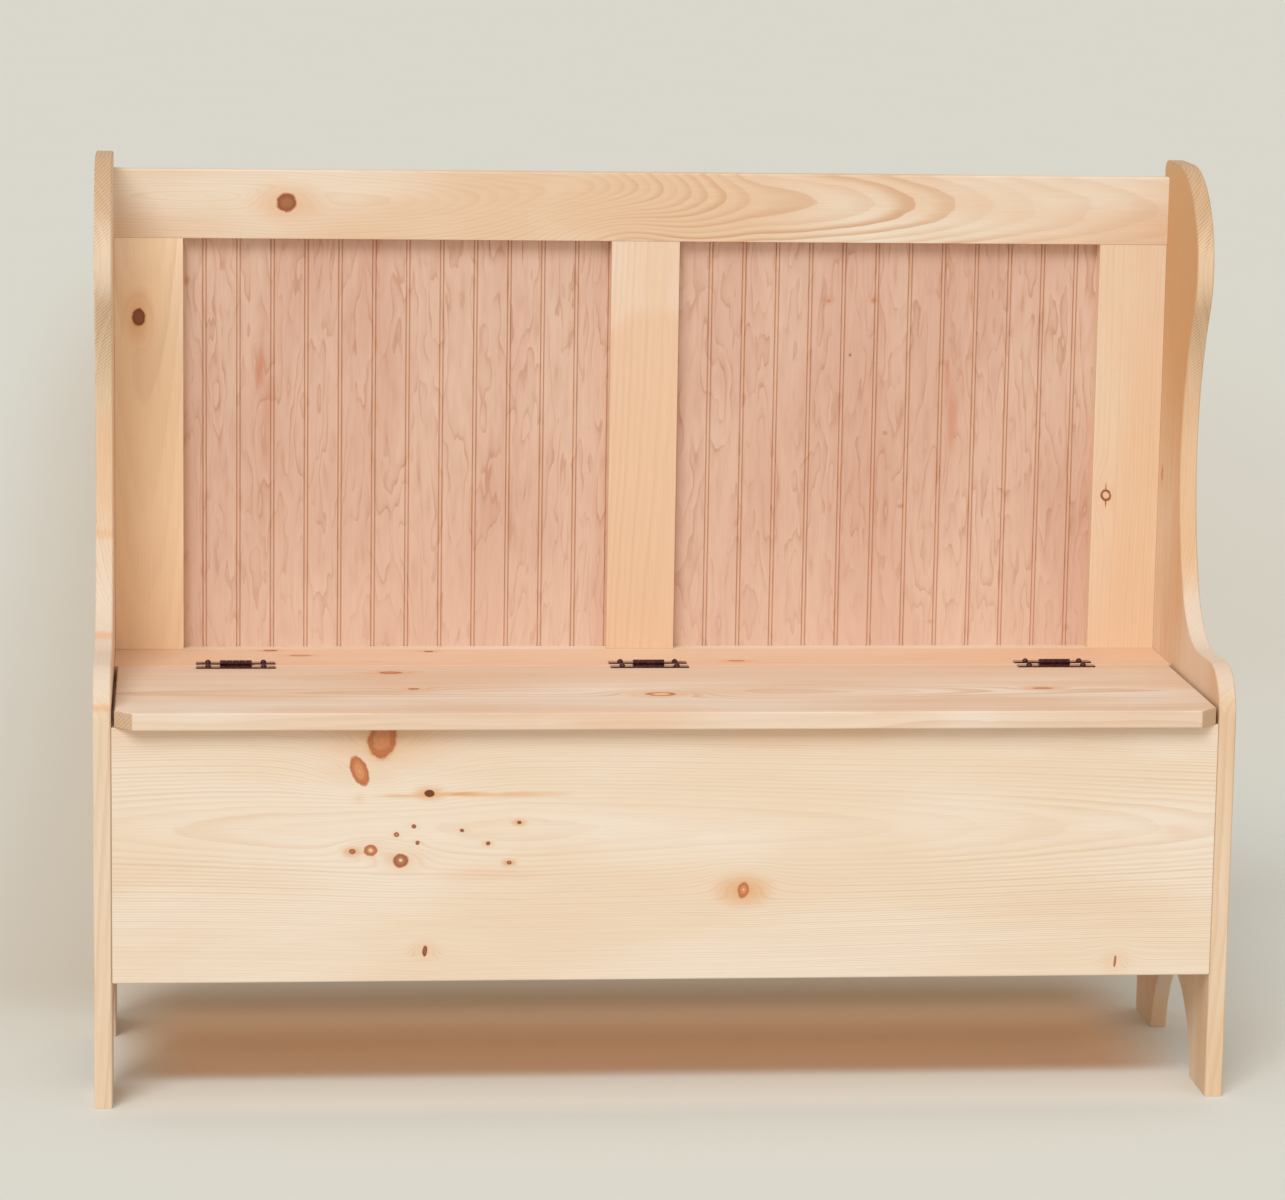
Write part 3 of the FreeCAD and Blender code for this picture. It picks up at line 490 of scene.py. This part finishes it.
def beech(name):
    """Plain beech with its short dark flecks."""
    graph = Graph(name)
    x, y, z = graph.coordinates()
    flecks = graph.noise(graph.vector(x * 260.0, y * 260.0, z * 60.0), 2.0).rise(0.55, 0.72)
    fibre = graph.noise(graph.vector(x * 700.0, y * 700.0, z * 90.0), 2.0, 0.6) - 0.5
    colour = graph.scaled(graph.mix(flecks * 0.6, BEECH_PALE, BEECH_FLECK), fibre * FIBRE_SHADE + 1.0)
    return graph.finish(colour, BEECH_ROUGHNESS + fibre * 0.1, fibre * 0.00004, 0.5)


def black_enamel(name):
    """Glossy black over stamped iron, slightly uneven and reddish, with its full coat where it looks up."""
    graph = Graph(name)
    x, y, z = graph.coordinates()
    waves = graph.noise(graph.vector(x * 260.0, y * 260.0, z * 260.0), 2.0)
    grit = graph.noise(graph.vector(x * 1900.0, y * 1900.0, z * 1900.0), 2.0, 0.6) - 0.5
    colour = graph.mix(waves.rise(0.35, 0.7), ENAMEL_THICK, ENAMEL_THIN)
    roughness = waves.rise(0.3, 0.75) * 0.12 + 0.20
    coat = graph.part(graph.facing, 2).rise(0.90, 0.99) * 0.5 + 0.5
    return graph.finish(colour, roughness, waves * 0.00002 + grit * 0.000004, 0.5, Specular_IOR_Level=0.12,
                        Coat_Weight=coat, Coat_Roughness=0.03)


FLOOR_NEAR = tone(222, 224, 219)
FLOOR_FAR = tone(222, 223, 217)
# Painted light and shade on the floor: the bench's shadow behind it, the shadow's edge, bounced light and
# dark core under it, and light before it
FLOOR_PAINTED_SHADOW = tone(209, 200, 186)
FLOOR_PAINTED_SHADOW_EDGE = tone(212, 168, 130)
FLOOR_PAINTED_BOUNCE = tone(255, 220, 184)
FLOOR_PAINTED_SHADOW_CORE = tone(184, 150, 114)
FLOOR_PAINTED_LIGHT = tone(248, 244, 236)
FLOOR_ROUGHNESS = 0.85


def floor_paper(name):
    """Pale studio paper, with the bench's shadow painted behind it, painted light before it, and painted
    shade under it warmed by painted bounced light from the wood.
    """
    graph = Graph(name)
    x, y, _ = graph.coordinates()
    grain = graph.noise(graph.vector(x * 60.0, y * 60.0, 0.0), 2.0, 0.6) - 0.5
    wrinkles = graph.noise(graph.vector(x * 2.2, y * 2.2, 3.0), 3.0, 0.6) - 0.5
    colour = graph.mix(y.rise(-0.5, 6.0), FLOOR_NEAR, FLOOR_FAR)
    # Painted shadow of the bench on the floor behind it, fading to the sides and far back
    painted_shadow = x.rise(-0.97, -0.60) * x.rise(2.6, 0.9) * y.rise(0.0, 0.4) * y.rise(10.0, 5.0)
    painted_shadow = painted_shadow * (1.0 - x.rise(0.50, 0.68) * y.rise(2.8, 1.0)) * (1.0 - x.rise(0.60, 1.0) * 0.5)
    colour = graph.mix(painted_shadow, colour, FLOOR_PAINTED_SHADOW)
    # Painted light on the floor just before the bench's front
    painted_light = y.rise(-0.24, -0.16) * y.rise(-0.03, -0.08) * x.abs().rise(0.64, 0.54)
    colour = graph.mix(painted_light * 0.75, colour, FLOOR_PAINTED_LIGHT)
    # Painted shade under the bench: a darker front edge, warm bounced light from the wood, and a darker brown
    # core behind
    under_bench_paint = y.rise(-0.085, -0.030) * y.rise(0.40, 0.22) * x.abs().rise(0.62, 0.50)
    painted_shade_and_bounce = graph.mix(y.rise(-0.08, 0.05), FLOOR_PAINTED_SHADOW_EDGE, FLOOR_PAINTED_BOUNCE)
    colour = graph.mix(under_bench_paint * 0.9, colour, graph.mix(y.rise(0.14, 0.30), painted_shade_and_bounce, FLOOR_PAINTED_SHADOW_CORE))
    colour = graph.scaled(colour, grain * 0.012 + wrinkles * 0.02 + 1.0)
    return graph.finish(colour, FLOOR_ROUGHNESS + grain * 0.05, Specular_IOR_Level=0.1)


def make_camera():
    data = bpy.data.cameras.new("Camera")
    data.sensor_width = CAMERA_SENSOR
    data.lens = CAMERA_LENS
    data.shift_x, data.shift_y = CAMERA_SHIFT
    data.clip_end = CAMERA_REACH
    camera = bpy.data.objects.new("Camera", data)
    bpy.context.collection.objects.link(camera)
    turn = (Matrix.Rotation(-CAMERA_YAW, 4, "Z") @ Matrix.Rotation(math.pi / 2 + CAMERA_PITCH, 4, "X")
            @ Matrix.Rotation(CAMERA_ROLL, 4, "Z"))
    camera.matrix_world = Matrix.Translation(CAMERA_PLACE) @ turn
    bpy.context.scene.camera = camera


def make_floor():
    bpy.ops.mesh.primitive_plane_add(size=FLOOR_SIZE, location=(0.0, 0.0, 0.0))
    floor = bpy.context.object
    floor.name = "floor"
    floor.data.materials.append(floor_paper("studio paper"))


def make_lights():
    world = bpy.data.worlds.new("Studio")
    bpy.context.scene.world = world
    world.use_nodes = True
    nodes, links = world.node_tree.nodes, world.node_tree.links
    background = nodes["Background"].inputs
    direction, split, fade = (nodes.new("ShaderNode" + kind)
                              for kind in ("TexCoord", "SeparateXYZ", "MapRange"))
    fade.interpolation_type = "SMOOTHSTEP"
    for name, value in zip(("From Min", "From Max", "To Min", "To Max"), SKY_FADE + (SKY_FRONT, SKY_BEHIND)):
        fade.inputs[name].default_value = value
    links.new(direction.outputs["Generated"], split.inputs[0])
    links.new(split.outputs["Y"], fade.inputs["Value"])
    links.new(fade.outputs[0], background["Strength"])
    background["Color"].default_value = SKY_COLOUR

    data = bpy.data.lights.new("Softbox", "SUN")
    data.angle = SUN_SIZE
    data.energy = SUN_STRENGTH
    data.color = SUN_COLOUR
    lamp = bpy.data.objects.new("Softbox", data)
    bpy.context.collection.objects.link(lamp)
    towards = Vector((math.sin(SUN_AZIMUTH) * math.cos(SUN_ELEVATION),
                      -math.cos(SUN_AZIMUTH) * math.cos(SUN_ELEVATION), math.sin(SUN_ELEVATION)))
    lamp.location = towards * SUN_DISTANCE
    lamp.rotation_mode = "QUATERNION"
    lamp.rotation_quaternion = towards.to_track_quat("Z", "Y")


def dress(node, material):
    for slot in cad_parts[node].material_slots:
        slot.material = material


bpy.ops.object.select_all(action="DESELECT")
bpy.context.scene.view_settings.view_transform = "Standard"
make_camera()
make_floor()
make_lights()

# The front panel's knots: along, across, half length, half width, turn, darkness, rim, glow, pale heart
FRONT_KNOTS = (
    (-0.3303, 0.0908, 0.0158, 0.0080, -66.7, 0.00, 1.00, 0.25, 0.00),
    (-0.3062, 0.1250, 0.0205, 0.0150, 80.0, 0.10, 0.30, 0.45, 0.00),
    (-0.2559, 0.0666, 0.0052, 0.0040, 0.0, 0.95, 0.90, 0.75, 0.00),
    (-0.2862, -0.0062, 0.0080, 0.0074, 0.0, 0.40, 0.45, 0.25, 0.22),
    (-0.3182, 0.0049, 0.0072, 0.0062, 0.0, 0.15, 0.20, 0.25, 0.36),
    (-0.3373, 0.0040, 0.0035, 0.0030, 0.0, 0.40, 0.60, 0.90, 0.00),
    (-0.2907, 0.0222, 0.0028, 0.0026, 0.0, 0.40, 0.80, 0.15, 0.15),
    (-0.2726, 0.0308, 0.0025, 0.0024, 0.0, 0.60, 0.90, 0.15, 0.00),
    (-0.2683, 0.0133, 0.0021, 0.0020, 0.0, 0.60, 0.90, 0.15, 0.00),
    (-0.2215, 0.0261, 0.0022, 0.0020, 0.0, 0.70, 0.90, 0.40, 0.00),
    (-0.1607, 0.0345, 0.0024, 0.0020, 0.0, 0.75, 0.90, 0.90, 0.00),
    (-0.1936, 0.0118, 0.0022, 0.0018, 0.0, 0.70, 0.90, 0.50, 0.00),
    (-0.1709, -0.0091, 0.0024, 0.0020, 0.0, 0.65, 0.80, 1.00, 0.12),
    (-0.2599, -0.1049, 0.0024, 0.0058, -5.0, 0.70, 0.90, 0.30, 0.00),
    (0.0801, -0.0404, 0.0058, 0.0085, -12.0, 0.00, 0.60, 0.90, 0.15),
    (0.4861, -0.1223, 0.0014, 0.0060, 0.0, 0.35, 0.50, 0.30, 0.00))

# Resin beside its knots, and a warm band under the lid that is painted shade from the lid's overhang: along,
# across, half sizes, strength, clear share
FRONT_RESIN_AND_PAINTED_SHADE = (
    (-0.2250, 0.0662, 0.044, 0.0042, 1.00, 0.0), (-0.1750, 0.0650, 0.095, 0.0052, 0.60, 0.0),
    (-0.2850, 0.0640, 0.040, 0.0032, 0.60, 0.0), (-0.2000, -0.0220, 0.080, 0.0120, 0.22, 0.0),
    (0.5500, 0.0220, 0.035, 0.0140, 0.25, 0.0), (0.0801, -0.0404, 0.010, 0.0080, 0.30, 0.0),
    (-0.3300, 0.0610, 0.012, 0.0100, 0.25, 0.0), (-0.3062, 0.1200, 0.026, 0.0260, 0.30, 0.3),
    # The last band is painted shade under the lid's overhang
    (-0.2559, 0.0660, 0.020, 0.0070, 0.45, 0.0), (0.0, 0.1400, 1.500, 0.0420, 0.26, 0.0))

# The other boards' pale, warm and late wood; the left stile's carry painted light and the right end panel's
# warm tone painted shade
# Painted light: the left stile's tones are paler to lift the end panel's shadow on it
LEFT_STILE_TONES_WITH_PAINTED_LIGHT = (tone(244, 219, 190), tone(247, 214, 177), tone(218, 172, 128))
CENTRE_STILE_TONES = (tone(236, 211, 190), tone(232, 197, 165), tone(214, 169, 130))
RIGHT_STILE_TONES = (tone(236, 213, 188), tone(234, 202, 168), tone(218, 174, 132))
LID_TONES = (tone(237, 224, 209), tone(230, 201, 176), tone(212, 172, 138))
STRIP_TONES = (tone(238, 208, 180), tone(236, 198, 168), tone(218, 168, 130))
RAIL_TONES = (tone(236, 221, 202), tone(228, 194, 162), tone(206, 156, 114))
LEFT_PANEL_TONES = (tone(231, 210, 186), tone(228, 194, 160), tone(206, 160, 118))
# The right end panel's warm tone is deepened as painted shade for the top of its inner face, and is its
# warmer wood elsewhere
RIGHT_PANEL_TONES_WITH_PAINTED_SHADE = (tone(235, 214, 190), tone(216, 169, 119), tone(206, 160, 118))

PINE = {
    "front_panel": pine(
        "pine front panel", "X", "Z", (0.0, -0.1715, 0.2746), 3.1, pith=(0.028, 0.018), lens=(0.035, -0.16),
        ring=0.0025, taper=1.7, wander=0.014, late=0.60, knots=FRONT_KNOTS, resin_and_painted_shade=FRONT_RESIN_AND_PAINTED_SHADE,
        patches=((-0.30, 0.10, 0.06, 0.05, 0.5, 0.1),)),
    "back_top_rail": pine(
        "pine top rail", "X", "Z", (0.0, 0.1853, 0.9319), 11.7, pith=(0.006, 0.020), slope=(0.0, 0.060),
        steps=((-0.30, -0.10, 0.010), (-0.10, 0.14, 0.034)), ring=0.0038, taper=0.85, late=0.9, calm=0.0,
        bold=(0.17, 0.20), tones=RAIL_TONES, swirls=((-0.04, -0.052, 0.080, 0.050, 0.020),),
        patches=((0.02, 0.0, 0.28, 0.09, 1.0, 0.3),),
        knots=((-0.3998, 0.0026, 0.0105, 0.0102, 0.0, 0.55, 0.80, 0.60, 0.00),)),
    "back_stile_left": pine(
        "pine left stile", "Z", "X", (-0.5592, 0.1853, 0.6628), 5.3, pith=(0.004, 0.060), slope=(0.0, -0.05),
        ring=0.0052, taper=1.0, wander=0.012, late=0.45, tones=LEFT_STILE_TONES_WITH_PAINTED_LIGHT,
        patches=((-0.10, 0.0, 0.26, 0.10, 1.0, 0.8),),
        knots=((0.1427, -0.0042, 0.0094, 0.0072, 0.0, 0.80, 0.80, 0.70, 0.0),)),
    "back_stile_centre": pine(
        "pine centre stile", "Z", "X", (0.0, 0.1853, 0.6628), 8.9, pith=(0.040, 0.022), slope=(0.03, 0.02),
        ring=0.0062, taper=1.0, wander=0.030, late=0.35, tones=CENTRE_STILE_TONES,
        patches=((-0.10, 0.012, 0.28, 0.12, 1.0, 0.86),)),
    "back_stile_right": pine(
        "pine right stile", "Z", "X", (0.5592, 0.1853, 0.6628), 14.2, pith=(-0.07, 0.035), slope=(0.02, 0.02),
        ring=0.0040, taper=1.0, wander=0.018, late=0.28, tones=RIGHT_STILE_TONES,
        patches=((-0.10, 0.01, 0.30, 0.05, 0.8, 0.4),),
        knots=((-0.0546, -0.0293, 0.0064, 0.0060, 0.0, 0.75, 1.0, 0.10, 0.70),
               (-0.0546, -0.0293, 0.0150, 0.0008, 0.0, 0.6, 0.5, 0.0, 0.0))),
    "seat_strip": pine(
        "pine seat strip", "X", "Y", (0.0, 0.1250, 0.4223), 21.5, pith=(-0.02, 0.05), slope=(0.01, 0.03),
        ring=0.0032, late=0.50, tones=STRIP_TONES,
        knots=((-0.4177, 0.0429, 0.008, 0.005, 0.0, 0.4, 0.6, 0.5, 0.0),
               (-0.3849, 0.0110, 0.012, 0.004, 0.0, 0.0, 0.3, 0.5, 0.0),
               (-0.2400, 0.0350, 0.005, 0.004, 0.0, 0.6, 0.8, 0.4, 0.0),
               (0.1015, -0.0260, 0.010, 0.004, 0.0, 0.1, 0.4, 0.5, 0.0))),
    "seat_lid": pine(
        "pine seat lid", "X", "Y", (0.0, -0.0637, 0.4223), 27.4, pith=(-0.02, -0.035), lens=(-0.03, 0.12),
        ring=0.0040, taper=1.3, wander=0.030, late=0.90, calm=0.2, edges=-0.5, tones=LID_TONES,
        patches=((0.1, 0.105, 0.9, 0.10, 0.8, 0.3), (-0.30, 0.03, 0.25, 0.04, 0.5, 0.2)),
        resin_and_painted_shade=((0.05, -0.1363, 0.35, 0.006, 0.22, 0.3),),
        knots=((-0.2891, 0.0939, 0.0120, 0.0070, 0.0, 0.15, 0.6, 0.6, 0.0),
               (-0.2676, -0.0014, 0.0060, 0.0050, 0.0, 0.2, 0.5, 0.4, 0.0),
               (-0.0032, -0.0344, 0.0160, 0.0110, 0.0, 0.0, 0.5, 0.4, 0.6),
               (0.4184, -0.0056, 0.0110, 0.0050, 0.0, 0.1, 0.4, 0.8, 0.0))),
    "side_panel_left": pine(
        "pine left end panel", "Z", "Y", (-0.6001, 0.0095, 0.4943), 31.2, pith=(0.10, 0.11),
        slope=(0.02, 0.0), ring=0.0034, taper=1.0, late=0.60, edges=-0.25, calm=0.4, mottle=0.6,
        tones=LEFT_PANEL_TONES, looks=1, painted_end_light=(0.02, 0.20),
        resin_and_painted_shade=((0.0887, 0.0395, 0.009, 0.020, 0.40, 0.0), (-0.0123, -0.0285, 0.006, 0.020, 0.50, 0.0),
                (-0.0610, -0.1870, 0.006, 0.020, 0.50, 0.0), (0.16, 0.03, 0.09, 0.06, 0.25, 0.4))),
    "side_panel_right": pine(
        "pine right end panel", "Z", "Y", (0.6001, 0.0095, 0.4943), 36.8, pith=(0.10, -0.11),
        slope=(-0.02, 0.0), ring=0.0036, taper=1.0, late=0.60, edges=-0.25, calm=0.4, mottle=0.5,
        tones=RIGHT_PANEL_TONES_WITH_PAINTED_SHADE, looks=-1, painted_end_light=(0.02, 0.20),
        # Painted shade: a warm patch at the top of the inner face, where it lies in shade
        patches=((0.42, 0.06, 0.42, 0.32, 1.0, 0.3),),
        knots=((0.142, 0.148, 0.008, 0.003, 0.0, 0.2, 0.5, 0.6, 0.0),),
        resin_and_painted_shade=((0.13, 0.040, 0.20, 0.040, 0.30, 0.3),)),
    "back_seat_rail": pine(
        "pine rear seat rail", "X", "Z", (0.0, 0.1853, 0.40), 41.0, pith=(0.02, 0.06), ring=0.0032),
    "back_bottom_rail": pine(
        "pine bottom rail", "X", "Z", (0.0, 0.1853, 0.17), 44.0, pith=(-0.02, 0.05), ring=0.0034),
}
LONG_CLEATS = pine("pine long cleats", "X", "Z", (0.0, 0.0, 0.28), 51.0, pith=(0.0, 0.09), ring=0.0030)
CROSS_CLEATS = pine("pine cross cleats", "Y", "Z", (0.0, 0.0, 0.28), 55.0, pith=(0.0, 0.09), ring=0.0030)
BEADS = {
    "beadboard_panel_left": beaded_veneer("beaded veneer left", 2.0, (
        (-0.429, 0.742, 0.0065, 0.032, 0.75, VENEER_BLUSH),
        (-0.420, 0.705, 0.010, 0.050, 0.35, VENEER_BLUSH),
        (-0.5102, 0.8451, 0.0060, 0.010, 0.60, VENEER_EYE),
        (-0.1746, 0.885, 0.0012, 0.020, 0.60, VENEER_CHECK),
        (-0.1385, 0.881, 0.0010, 0.022, 0.60, VENEER_CHECK),
        (-0.1539, 0.845, 0.0012, 0.016, 0.45, VENEER_CHECK))),
    "beadboard_panel_right": beaded_veneer("beaded veneer right", 9.0, (
        (0.2094, 0.8263, 0.0034, 0.0034, 0.65, VENEER_EYE),
        (0.2615, 0.8272, 0.0046, 0.0046, 0.70, VENEER_EYE),
        (0.2094, 0.8283, 0.0130, 0.0090, 0.30, VENEER_BLUSH),
        (0.2615, 0.8292, 0.0130, 0.0090, 0.35, VENEER_BLUSH),
        (0.2355, 0.7653, 0.0026, 0.0030, 0.90, VENEER_CHECK),
        (0.2775, 0.6766, 0.0045, 0.0040, 0.50, VENEER_EYE),
        (0.2979, 0.5929, 0.0060, 0.0040, 0.50, VENEER_EYE),
        (0.3337, 0.4595, 0.0060, 0.0040, 0.50, VENEER_EYE),
        (0.4939, 0.4529, 0.0060, 0.0060, 0.50, VENEER_EYE),
        (0.346, 0.742, 0.0050, 0.026, 0.60, VENEER_BLUSH),
        (0.353, 0.695, 0.0090, 0.060, 0.60, VENEER_BLUSH))),
}
PLYWOOD_UPRIGHT = plywood("plywood upright", 4.0, "Y")
PLYWOOD_FLAT = plywood("plywood flat", 7.0, "Z")
BEECH = beech("beech tenons")
ENAMEL = black_enamel("black enamel")

CROSS_PIECES = ("floor_cleat_left", "floor_cleat_right", "seat_cleat_left", "seat_cleat_right")
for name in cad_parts:
    if name in PINE:
        dress(name, PINE[name])
    elif name in BEADS:
        dress(name, BEADS[name])
    elif name.startswith("hinge"):
        dress(name, ENAMEL)
    elif name.endswith("tenons"):
        dress(name, BEECH)
    elif name == "chest_back_panel":
        dress(name, PLYWOOD_UPRIGHT)
    elif name == "chest_floor":
        dress(name, PLYWOOD_FLAT)
    elif name.startswith("lid_batten") or name in CROSS_PIECES:
        dress(name, CROSS_CLEATS)
    else:
        dress(name, LONG_CLEATS)

UP, DOWN = (0, 0, 1), (0, 0, -1)
FORWARD, BACK = (0, -1, 0), (0, 1, 0)
LEFT, RIGHT = (-1, 0, 0), (1, 0, 0)
MERGE_DISTANCE = 2e-6
FLAT_ANGLE = math.radians(0.1)
SHARP_ANGLE = math.radians(30.0)
BOARD_SMOOTHING = math.radians(35.0)
HEAD_SMOOTHING = math.radians(40.0)


def take(piece):
    """Makes a piece the only one that the operators act on."""
    bpy.ops.object.select_all(action="DESELECT")
    piece.select_set(True)
    bpy.context.view_layer.objects.active = piece


def smooth(piece, angle):
    """Shades curved faces smooth, with flat faces kept flat beside small rounded ones."""
    take(piece)
    bpy.ops.object.shade_smooth_by_angle(angle=angle)
    weighted = piece.modifiers.new("Flat faces first", "WEIGHTED_NORMAL")
    weighted.keep_sharp = True
    bpy.ops.object.modifier_apply(modifier=weighted.name)


def attach(piece, body, slot, *nodes):
    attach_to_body(piece, body)
    if nodes:
        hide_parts(*nodes)


def eased(node, body, slot, width, chosen=None):
    """A copy of a CAD node with its sharp edges sanded round, all of them or those whose middle is chosen."""
    piece = bpy.data.objects.new(node + "_eased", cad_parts[node].data.copy())
    bpy.context.collection.objects.link(piece)
    take(piece)
    bpy.ops.mesh.customdata_custom_splitnormals_clear()
    bpy.ops.object.mode_set(mode="EDIT")
    bpy.ops.mesh.select_mode(type="EDGE")
    bpy.ops.mesh.select_all(action="SELECT")
    bpy.ops.mesh.remove_doubles(threshold=MERGE_DISTANCE)
    bpy.ops.mesh.dissolve_limited(angle_limit=FLAT_ANGLE)
    bpy.ops.mesh.select_all(action="DESELECT")
    bpy.ops.mesh.edges_select_sharp(sharpness=SHARP_ANGLE)
    if chosen:
        bpy.ops.object.mode_set(mode="OBJECT")
        mesh = piece.data
        ends = [[mesh.vertices[index].co for index in edge.vertices] for edge in mesh.edges]
        kept = [edge.select and chosen((first + last) / 2) for edge, (first, last) in zip(mesh.edges, ends)]
        bpy.ops.object.mode_set(mode="EDIT")
        bpy.ops.mesh.select_all(action="DESELECT")
        bpy.ops.object.mode_set(mode="OBJECT")
        for edge, keep in zip(mesh.edges, kept):
            edge.select = keep
        bpy.ops.object.mode_set(mode="EDIT")
    bpy.ops.mesh.bevel(offset=width, segments=3, profile=0.5, affect="EDGES", clamp_overlap=True)
    bpy.ops.object.mode_set(mode="OBJECT")
    smooth(piece, BOARD_SMOOTHING)
    attach(piece, body, slot, node)


def screw_head(radius, height, recess):
    """A domed head that stands on the XY plane, with a cross recess about as wide as given, or none."""
    bpy.ops.object.select_all(action="DESELECT")
    segments = 28 if recess else 12
    bpy.ops.mesh.primitive_uv_sphere_add(segments=segments, ring_count=segments // 2, radius=radius)
    head = bpy.context.object
    bpy.ops.object.mode_set(mode="EDIT")
    bpy.ops.transform.resize(value=(1.0, 1.0, height / radius))
    bpy.ops.mesh.bisect(plane_co=(0.0, 0.0, 0.0), plane_no=UP, clear_inner=True, use_fill=True)
    bpy.ops.object.mode_set(mode="OBJECT")
    if recess:
        for length, width in ((2.6, 0.7), (0.7, 2.6)):
            bpy.ops.mesh.primitive_cube_add(size=1.0, location=(0.0, 0.0, height),
                                            scale=(recess * length, recess * width, height))
            blade = bpy.context.object
            take(head)
            cut = head.modifiers.new("Recess", "BOOLEAN")
            cut.operation = "DIFFERENCE"
            cut.object = blade
            cut.solver = "EXACT"
            bpy.ops.object.modifier_apply(modifier=cut.name)
            bpy.data.objects.remove(blade, do_unlink=True)
    smooth(head, HEAD_SMOOTHING)
    return head


def driven(name, head, body, places):
    """Copies of a head joined in one piece. Each place is a point of a face and the way the face looks."""
    copies = []
    for number, (point, facing) in enumerate(places):
        mesh = head.data.copy()
        turn = Vector(facing).to_track_quat("Z", "Y").to_matrix().to_4x4()
        spin = Matrix.Rotation(number * HEAD_SPIN, 4, "Z")
        mesh.transform(Matrix.Translation(point) @ turn @ spin)
        copy = bpy.data.objects.new(name, mesh)
        bpy.context.collection.objects.link(copy)
        copies.append(copy)
    bpy.ops.object.select_all(action="DESELECT")
    for copy in copies:
        copy.select_set(True)
    bpy.context.view_layer.objects.active = copies[0]
    bpy.ops.object.join()
    piece = bpy.context.object
    piece.name = name
    piece.data.materials.clear()
    piece.data.materials.append(ENAMEL)
    attach(piece, body, "black_iron")


def spread(first, last, count):
    """Points at even steps from the first to the last."""
    first, last = Vector(first), Vector(last)
    return [first + (last - first) * (index / (count - 1)) for index in range(count)]


# The boards whose edges show are sanded, and so are the hinges' leaves
RAIL_TOP = 0.970
for side in ("left", "right"):
    eased("side_panel_" + side, "bench", "pine", 0.0007)
eased("front_panel", "bench", "pine", 0.0008)
eased("seat_strip", "bench", "pine", 0.0006)
eased("seat_lid", "lid", "pine", 0.0012)
eased("back_top_rail", "bench", "pine", 0.0009, lambda middle: middle.z > RAIL_TOP - 0.0005)
for place in ("left", "centre", "right"):
    eased("hinge_fixed_leaf_" + place, "bench", "black_iron", 0.00035)
    eased("hinge_lid_leaf_" + place, "lid", "black_iron", 0.00035)

# Radius, height and recess of each kind of head, and how far each head is turned from the one before it
HINGE_HEAD = (0.0034, 0.0032, 0.0009)
CLEAT_HEAD = (0.0038, 0.0024, 0.0010)
BRAD_HEAD = (0.0011, 0.0003, 0.0)
HEAD_SPIN = 0.7

# Two screws in each leaf, in rows before and behind the pins
HINGES = (-0.4572, 0.0, 0.4572)
PIN_Y = 0.073375
LEAF_HOLE_ROW = 0.01275
LEAF_HOLE_OFFSET = 0.0305
LEAF_TOP = 0.4333
head = screw_head(*HINGE_HEAD)
for name, body, row in (("hinge_strip_screws", "bench", 1), ("hinge_lid_screws", "lid", -1)):
    driven(name, head, body, [((hinge + end * LEAF_HOLE_OFFSET, PIN_Y + row * LEAF_HOLE_ROW, LEAF_TOP), UP)
                              for hinge in HINGES for end in (-1, 1)])
bpy.data.objects.remove(head, do_unlink=True)

# Screws through the faces of the cleats and the lid's battens
FLOOR_CLEAT_LEVEL = 0.149225
SEAT_CLEAT_LEVEL = 0.403225
FRONT_CLEAT_FACE = -0.142875
REAR_CLEAT_FACE = 0.156725
SIDE_CLEAT_FACE = 0.5715
BATTEN_X = 0.3
BATTEN_FACE = 0.3937
head = screw_head(*CLEAT_HEAD)
seats = []
for end, face, level, facing in ((0.53, FRONT_CLEAT_FACE, FLOOR_CLEAT_LEVEL, BACK),
                                 (0.53, REAR_CLEAT_FACE, FLOOR_CLEAT_LEVEL, FORWARD),
                                 (0.51, REAR_CLEAT_FACE, SEAT_CLEAT_LEVEL, FORWARD)):
    seats += [(point, facing) for point in spread((-end, face, level), (end, face, level), 5)]
for face, facing in ((-SIDE_CLEAT_FACE, RIGHT), (SIDE_CLEAT_FACE, LEFT)):
    for level, front, rear in ((FLOOR_CLEAT_LEVEL, -0.112, 0.127), (SEAT_CLEAT_LEVEL, -0.132, 0.127)):
        seats += [(point, facing) for point in spread((face, front, level), (face, rear, level), 3)]
driven("cleat_screws", head, "bench", seats)
seats = []
for batten in (-BATTEN_X, BATTEN_X):
    seats += [(point, DOWN) for point in spread((batten, -0.12, BATTEN_FACE), (batten, 0.03, BATTEN_FACE), 3)]
driven("lid_batten_screws", head, "lid", seats)
bpy.data.objects.remove(head, do_unlink=True)

# Brads round the rear edges of the thin panels
BRAD_INSET = 0.010
head = screw_head(*BRAD_HEAD)
tacks = []
for node in ("beadboard_panel_left", "beadboard_panel_right", "chest_back_panel"):
    (x0, _, z0), (x1, y1, z1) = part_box(node)
    for level in (z0 + BRAD_INSET, z1 - BRAD_INSET):
        tacks += spread((x0 + BRAD_INSET, y1, level), (x1 - BRAD_INSET, y1, level), 7)
    for end in (x0 + BRAD_INSET, x1 - BRAD_INSET):
        tacks += spread((end, y1, z0 + BRAD_INSET), (end, y1, z1 - BRAD_INSET), 5)[1:-1]
driven("sheet_brads", head, "bench", [(point, BACK) for point in tacks])
bpy.data.objects.remove(head, do_unlink=True)
